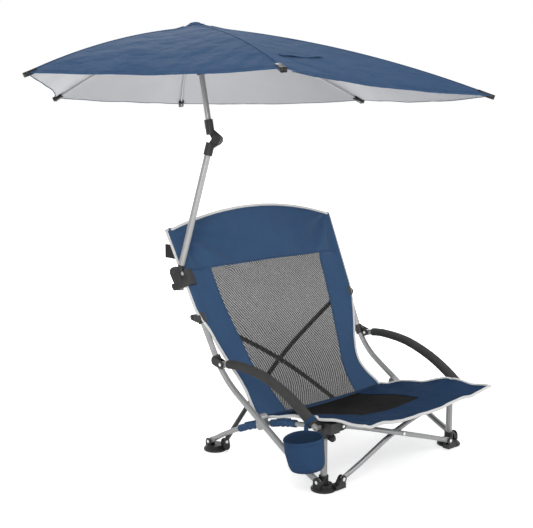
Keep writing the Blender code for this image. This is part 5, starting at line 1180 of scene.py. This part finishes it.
def cup_place(angle, radius, z, height):
    """A place on the cup, which hangs a little askew and whose rim waves."""
    out = Vector((math.cos(angle), math.sin(angle), 0.0)) * radius
    rise = 0.0014 * math.sin(angle * 2.0 - 0.5) * height + CUP_TILT * out.dot(CUP_RISE)
    hang = CUP_RISE * (CUP_TILT * 1.4 * (CUP_RIM_Z - z))
    return CUP_CENTRE + out + hang + Z_AXIS * (z + rise)


def cup_share(z):
    """A height as a share of the cup's own: 0 at its base, 1 at its rim."""
    return (z - CUP_BASE_Z) / CUP_HEIGHT


def cup_radius(height):
    return CUP_BASE_RADIUS + CUP_FLARE * height


def cup_soft(angle, height):
    """How far the cup's wall is out of round."""
    return math.sin(angle * 2.0 + 0.6) * 0.0011 * height


def cup_profile():
    """Height, radius and whether it is the lining: up the outside, then down the inside."""
    profile = []
    for t in spaced(0.0, 1.0, CUP_STEPS):
        radius = cup_radius(t) + 0.0016 * math.sin(math.pi * t)
        radius -= 0.0055 * max(0.0, 1.0 - t / 0.15) ** 2
        profile.append((CUP_BASE_Z + CUP_HEIGHT * t, radius, False))
    profile.append((CUP_RIM_Z + 0.0010, CUP_RIM_RADIUS - 0.0006, False))
    for t in spaced(1.0, 0.0, CUP_STEPS):
        radius = cup_radius(t) - CUP_WALL + 0.0008 * math.sin(math.pi * t)
        profile.append((CUP_BASE_Z + CUP_FLOOR + (CUP_HEIGHT - CUP_FLOOR) * t, radius, True))
    return profile


def cup_shell():
    """The cup's wall, lining and floor."""
    profile = cup_profile()
    verts = []
    for z, radius, _ in profile:
        height = cup_share(z)
        for angle in angles_round(CUP_SIDES):
            soft = cup_soft(angle, height) + math.sin(angle * 5.0 + height * 3.0) * 0.0005
            place = Vector((math.cos(angle) * 2.2, math.sin(angle) * 2.2, height * 2.5))
            soft += noise.noise(place) * 0.0013
            verts.append(cup_place(angle, radius + soft, z, height))
    faces = tube_faces(len(profile), CUP_SIDES)[:-2]
    indices = []
    for (_, _, lower), (_, _, upper) in zip(profile, profile[1:]):
        indices += [int(lower and upper)] * CUP_SIDES
    base = len(verts)
    last = base - CUP_SIDES
    verts.append(cup_place(0.0, 0.0, CUP_BASE_Z, 0.0))
    verts.append(cup_place(0.0, 0.0, CUP_BASE_Z + 0.0028, 0.0))
    for k in range(CUP_SIDES):
        m = (k + 1) % CUP_SIDES
        faces += [(base, m, k), (base + 1, last + k, last + m)]
        indices += [0, 1]
    return build("cup_shell", verts, faces, [shaded_cup_navy, navy_dark], indices)


def cup_hanger():
    """The loop round the arm, and the tab from it down to the cup's rim."""
    middle = arm_at(CUP_LOOP_SHARE)
    ahead = (arm_at(CUP_LOOP_SHARE + 0.02) - arm_at(CUP_LOOP_SHARE - 0.02)).normalized()
    strap = ring(middle, ahead, lambda angle: CUP_LOOP_RADIUS, 24)
    loop = ribbon("cup_loop", strap + strap[:1], ahead, *CUP_LOOP_SIZE, shaded_cup_navy)
    root = middle - X_AXIS * CUP_LOOP_RADIUS - Z_AXIS * 0.006
    turn = math.atan2(root.y - CUP_CENTRE.y, root.x - CUP_CENTRE.x)
    wall = cup_place(turn, CUP_RIM_RADIUS + 0.0002, CUP_RIM_Z - 0.008, 1.0)
    hang = [root.lerp(wall, t) - Z_AXIS * (0.002 * math.sin(math.pi * t)) for t in spaced(0.0, 1.0, 8)]
    hang += [wall - Z_AXIS * 0.006, wall - Z_AXIS * 0.016]
    return [loop, ribbon("cup_tab", hang, (wall - root).cross(Z_AXIS), *CUP_TAB_SIZE, shaded_cup_navy)]


def make_cup():
    pieces = [cup_shell()]
    for z, radius, thickness in CUP_RINGS:
        height = cup_share(z)
        path = []
        for angle in angles_round(64):
            path.append(cup_place(angle, radius + cup_soft(angle, height), z, height))
        pieces.append(piped("cup_ring", path, thickness, shaded_cup_navy, 8, closed=True, squash=1.3))
    seam = []
    for t in spaced(0.0, 1.0, 12):
        z = CUP_BASE_Z + 0.003 + (CUP_HEIGHT - 0.006) * t
        seam.append(cup_place(CUP_SEAM_ANGLE, cup_radius(t) + 0.0009, z, t))
    pieces.append(piped("cup_seam", seam, 0.0010, shaded_cup_navy, 6, up=X_AXIS))
    cup = joined("cup_cloth", pieces + cup_hanger())
    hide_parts("cup_holder")
    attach(cup, "arm_right")

    lines = []
    for z in (CUP_RIM_Z - CUP_SEWN_INSET, CUP_BASE_Z + CUP_SEWN_INSET):
        height = cup_share(z)
        line = []
        for angle in spaced(0.0, 2.0 * math.pi, 96):
            out = Vector((math.cos(angle), math.sin(angle), 0.0))
            radius = cup_radius(height) + cup_soft(angle, height) + CUP_SEWN_LIFT
            line.append((cup_place(angle, radius, z, height), out))
        lines.append(line)
    sewn = stitches("cup_stitching", lines)
    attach(sewn, "arm_right")


def make_tab():
    """A doubled webbing loop sewn into the right sleeve's rear seam."""
    post = post_centre(-1.0, TAB_Z)
    start = post.y + SLEEVE_RADIUS + 0.0006

    def layer(offset, shares):
        places = []
        for t in shares:
            sway = 0.0016 * math.sin(t * 3.0)
            places.append(Vector((post.x + offset + sway, start + TAB_REACH * t * 0.985, TAB_Z)))
        return places

    path = layer(TAB_FOLD, spaced(0.0, 1.0, 14))
    end = path[-1]
    for turn in spaced(0.0, math.pi, 6)[1:-1]:
        path.append(end + Vector((TAB_FOLD * (math.cos(turn) - 1.0), TAB_FOLD * math.sin(turn), 0.0)))
    path += layer(-TAB_FOLD, spaced(1.0, 0.0, 14))
    tab = ribbon("tab_webbing", path, Z_AXIS, TAB_HEIGHT, TAB_THICKNESS, webbing)
    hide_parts("webbing_tab")
    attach(tab, "post_right")


# Canopy


LEAN = Vector((math.cos(SHADE_BEARING), math.sin(SHADE_BEARING), 0.0))
LEVEL = Vector((-LEAN.y, LEAN.x, 0.0))
SHADE_UP = Z_AXIS * math.cos(SHADE_ROLL) + LEVEL * math.sin(SHADE_ROLL)
SHADE_ACROSS = LEVEL * math.cos(SHADE_ROLL) - Z_AXIS * math.sin(SHADE_ROLL)
LOWER = LEAN * math.sin(LOWER_LEAN) + SHADE_UP * math.cos(LOWER_LEAN)
UPPER = LEAN * math.sin(UPPER_LEAN) + SHADE_UP * math.cos(UPPER_LEAN)
FRONT = LEAN * math.cos(UPPER_LEAN) - SHADE_UP * math.sin(UPPER_LEAN)
HUB = POLE_FOOT + LOWER * LOWER_LENGTH + UPPER * UPPER_LENGTH


def rib_curve(number):
    """A rib's root and tip, the direction above it and the direction outward from the pole."""
    angle, reach, drop = RIB_TIPS[number % len(RIB_TIPS)]
    turn = math.radians(angle)
    outward = FRONT * math.cos(turn) + SHADE_ACROSS * math.sin(turn)
    start = HUB + outward * HUB_PIVOT_RADIUS
    end = HUB + outward * reach - UPPER * drop
    above = UPPER.cross(outward).cross(end - start).normalized()
    if above.dot(UPPER) < 0.0:
        above = -above
    return start, end, above, outward


def rib_at(number, t):
    """A place along a rib and a little past its ends, as a share of its length."""
    start, end, above, _ = rib_curve(number)
    chord = end - start
    arch = 4.0 * t * (1.0 - t)
    if not 0.0 <= t <= 1.0:
        arch *= 0.5
    return start + chord * t + above * (chord.length * RIB_ARCH_SHARE * arch)


def rim_point(number, share):
    start, end, above, _ = rib_curve(number)
    length = (end - start).length
    inner = CANOPY_EYE - HUB_PIVOT_RADIUS + CANOPY_EYE_MARGIN
    distance = inner + (length + CANOPY_OVERHANG - inner) * share
    lift = CANOPY_LIFT + RIB_CAP_RADIUS * 0.5 * share
    lift += CANOPY_HUB_LIFT * (1.0 - smooth_step(0.0, 0.10, share))
    return rib_at(number, distance / length) + above * lift


def canopy_at(position, share):
    """The canopy's surface; position counts ribs, share runs from the eye to the rim."""
    number = int(math.floor(position)) % 6
    t = position - math.floor(position)
    here = rim_point(number, share)
    there = rim_point(number + 1, share)
    point = here.lerp(there, t)
    bulge = 4.0 * t * (1.0 - t) * (there - here).length
    centre = HUB - UPPER * (HUB - point).dot(UPPER)
    point += (centre - point).normalized() * (bulge * CANOPY_SCALLOP_SHARE * share**2)
    point -= UPPER * (bulge * CANOPY_DIP_SHARE)
    away = math.sin(math.pi * t) ** 0.7
    rim = smooth_step(0.72, 1.0, share)
    open_part = away * smooth_step(0.1, 0.4, share) * (1.0 - 0.6 * rim)
    ripple = math.sin(share * 5.0 + number) * math.sin(2.0 * math.pi * t) * 0.0016
    ripple += rim * 0.0007 * math.sin(t * 21.0 + number * 1.7) * away
    ripple += noise.noise(point * 11.0) * 0.0022 * open_part
    ripple += noise.noise(point * 34.0 + Vector((5.0, 1.0, 2.0))) * 0.0009 * away
    return point + UPPER * ripple


def canopy_gores():
    """The canopy's six pieces, one over each rib and split midway between ribs, and their grids."""
    columns = 6 * GORE_STEPS
    grid = []
    for share in spaced(0.0, 1.0, CANOPY_RINGS):
        grid.append([canopy_at(c / GORE_STEPS, share**0.92) for c in range(columns)])
    # A sheet's columns run against the ribs' count, so the rows and normals are turned round
    normals = [[-n for n in line] for line in grid_normals(grid, True)]
    half_gore = GORE_STEPS // 2
    for number in range(6):
        picked = [(number * GORE_STEPS + k) % columns for k in range(half_gore, -half_gore - 1, -1)]
        part, part_normals = ([[line[c] for c in picked] for line in whole] for whole in (grid, normals))
        looks = [navy_top, silver, navy_top]
        name = f"canopy_gore_{number + 1}"
        yield number, sheet_mesh(name, part, part_normals, CANOPY_THICKNESS, looks), part


def make_canopy():
    for number, gore, part in canopy_gores():
        if number == 0:
            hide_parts("canopy")
        flat = (path_length(part[-1]), sheet_sizes(part)[1])
        one_side_area(gore)
        follow_rib(gore, number)

        over_rib = [canopy_at(number + ON_RIB, share) for share in spaced(0.03, 0.985, 40)]
        seam = [place + UPPER * CANOPY_SEAM_LIFT for place in over_rib]
        ridge = piped(f"canopy_seam_{number + 1}", seam, CANOPY_SEAM_RADIUS, navy_top, 6, squash=0.6)
        follow_rib(ridge, number)

        positions = spaced(number + 5.5, number + 6.5, 2 * GORE_STEPS)
        hem = [canopy_at(position, 1.0) for position in positions]
        edge = piped(f"canopy_hem_{number + 1}", hem, CANOPY_HEM_RADIUS, navy_top, 6, squash=1.4)
        follow_rib(edge, number)

        lines = []
        for share in CANOPY_SEWN_SHARES:
            lines.append([(canopy_at(at, share) + UPPER * STITCH_LIFT, UPPER) for at in positions])
        sewn = stitches(f"canopy_stitching_{number + 1}", lines)
        follow_rib(sewn, number)
    make_canopy_cap()
    make_tips()
    make_ties()


def follow_rib(piece, number):
    """The piece's place is baked into its mesh."""
    start, _, _, outward = rib_curve(number)
    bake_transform(piece)


def make_canopy_cap():
    """The round patch of cloth over the hub's peak."""
    rim = []
    for k in range(CAP_SIDES):
        edge = canopy_at(6.0 * k / CAP_SIDES, CAP_SHARE) + UPPER * CAP_LIFT - HUB
        height = edge.dot(UPPER)
        rim.append((edge - UPPER * height, height))
    verts = [HUB + UPPER * CAP_TOP]
    faces = [(0, 1 + k, 1 + (k + 1) % CAP_SIDES) for k in range(CAP_SIDES)]
    for t in spaced(0.0, 1.0, CAP_RINGS)[1:]:
        fall = smooth_step(0.30, 1.0, t)
        for flat, height in rim:
            verts.append(HUB + flat * t + UPPER * (CAP_TOP * (1.0 - fall) + height * fall))
    for face in tube_faces(CAP_RINGS, CAP_SIDES)[:-2]:
        a, m, b, last = (1 + k for k in face)
        faces.append((a, last, b, m))
    cap = build("canopy_cap", verts, faces, [navy_top])
    solid = cap.modifiers.new("thickness", "SOLIDIFY")
    solid.thickness = CAP_THICKNESS
    solid.offset = 0.0
    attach(cap, "pole_upper")


def make_tips():
    """A small black pocket that holds each rib's tip at the rim."""
    for number in range(6):
        start, end, above, _ = rib_curve(number)
        path = [canopy_at(number + ON_RIB, share) - above * TIP_DROP for share in spaced(0.952, 1.0, 3)]
        path.append(path[-1] + (path[-1] - path[-2]).normalized() * TIP_OVERHANG)
        across = above.cross(end - start).normalized()
        pocket = ribbon(f"tip_pocket_{number + 1}", path, across, TIP_WIDTH, TIP_THICKNESS, foot_plastic)
        follow_rib(pocket, number)


def make_ties():
    """The folded tie strap that lies on the canopy near its front right rib, and its hanging end."""
    path = []
    for t in spaced(0.0, 1.0, 14):
        lift = UPPER * (0.0030 + 0.0015 * math.sin(t * 9.0))
        path.append(canopy_at(5.10 + 0.34 * t, 0.80 - 0.10 * t) + lift)
    across = (rib_at(5, 0.9) - rib_at(5, 0.6)).normalized()
    strap = ribbon("tie_strap", path, across, *TIE_SIZE, navy_top)
    follow_rib(strap, 5)
    drop = []
    for t in spaced(0.0, 1.0, 9):
        drop.append(canopy_at(5.05 + 0.26 * t, 0.992 - 0.06 * t) - UPPER * (0.004 + 0.010 * t))
    tie = ribbon("tie_end", drop, SHADE_ACROSS, *TIE_END_SIZE, navy_top)
    follow_rib(tie, 5)


# Stage


def put(name, data, place, turn):
    item = bpy.data.objects.new(name, data)
    item.location = place
    item.rotation_euler = turn
    bpy.context.scene.collection.objects.link(item)
    return item


def make_camera():
    data = bpy.data.cameras.new("camera")
    data.sensor_width = SENSOR
    data.lens = FOCAL_PIXELS * SENSOR / PHOTO_WIDTH
    data.shift_y = (CENTRE_ROW - PHOTO_HEIGHT / 2.0) / PHOTO_WIDTH
    data.clip_start = 0.05
    data.clip_end = 60.0
    turn = (math.pi / 2.0 - CAMERA_PITCH, 0.0, CAMERA_AZIMUTH)
    bpy.context.scene.camera = put("camera", data, CAMERA_PLACE + SHIFT, turn)


def make_light(name, place, size, power):
    data = bpy.data.lights.new(name, "AREA")
    data.shape = "DISK"
    data.size = size
    data.energy = power
    put(name, data, place, (LIT_PLACE - place).to_track_quat("-Z", "Y").to_euler())


def make_stage():
    world = bpy.data.worlds.new("studio")
    bpy.context.scene.world = world
    sky = Graph(world, "Background")
    rays = sky.add("ShaderNodeLightPath").outputs
    through = sky.math("MAXIMUM", rays["Is Glossy Ray"], rays["Is Transmission Ray"])
    seen = sky.math("MAXIMUM", rays["Is Camera Ray"], through)
    sky.set(Color=(1.0, 1.0, 1.0), Strength=sky.ramp(seen, 0.0, 1.0, *WORLD_GLOW))

    g, place = new_finish("floor")
    rays = g.add("ShaderNodeLightPath").outputs
    seen = g.math("MAXIMUM", rays["Is Camera Ray"], rays["Is Glossy Ray"])
    span = g.add("ShaderNodeVectorMath", operation="LENGTH", Vector=place)
    g.set(
        Base_Color=(0.86, 0.86, 0.86),
        Roughness=0.85,
        Specular_IOR_Level=0.1,
        Emission_Color=(1.0, 1.0, 1.0),
        Emission_Strength=g.math("MULTIPLY", seen, g.ramp(span.outputs["Value"], *FLOOR_GLOW)),
    )
    corners = ((-1.0, -1.0), (1.0, -1.0), (1.0, 1.0), (-1.0, 1.0))
    verts = [Vector((x * FLOOR_HALF, y * FLOOR_HALF, -FLOOR_DROP)) for x, y in corners]
    floor = build("floor", verts, [(0, 1, 2, 3)], [g.owner])

    for name, place, size, power in LIGHTS:
        make_light(name, Vector(place), size, power)
    bpy.context.scene.view_settings.view_transform = "Standard"


make_camera()
make_stage()
dress_frame()
mark_rivets()
make_back()
make_seat()
make_side_sleeves()
make_cup()
make_tab()
make_canopy()
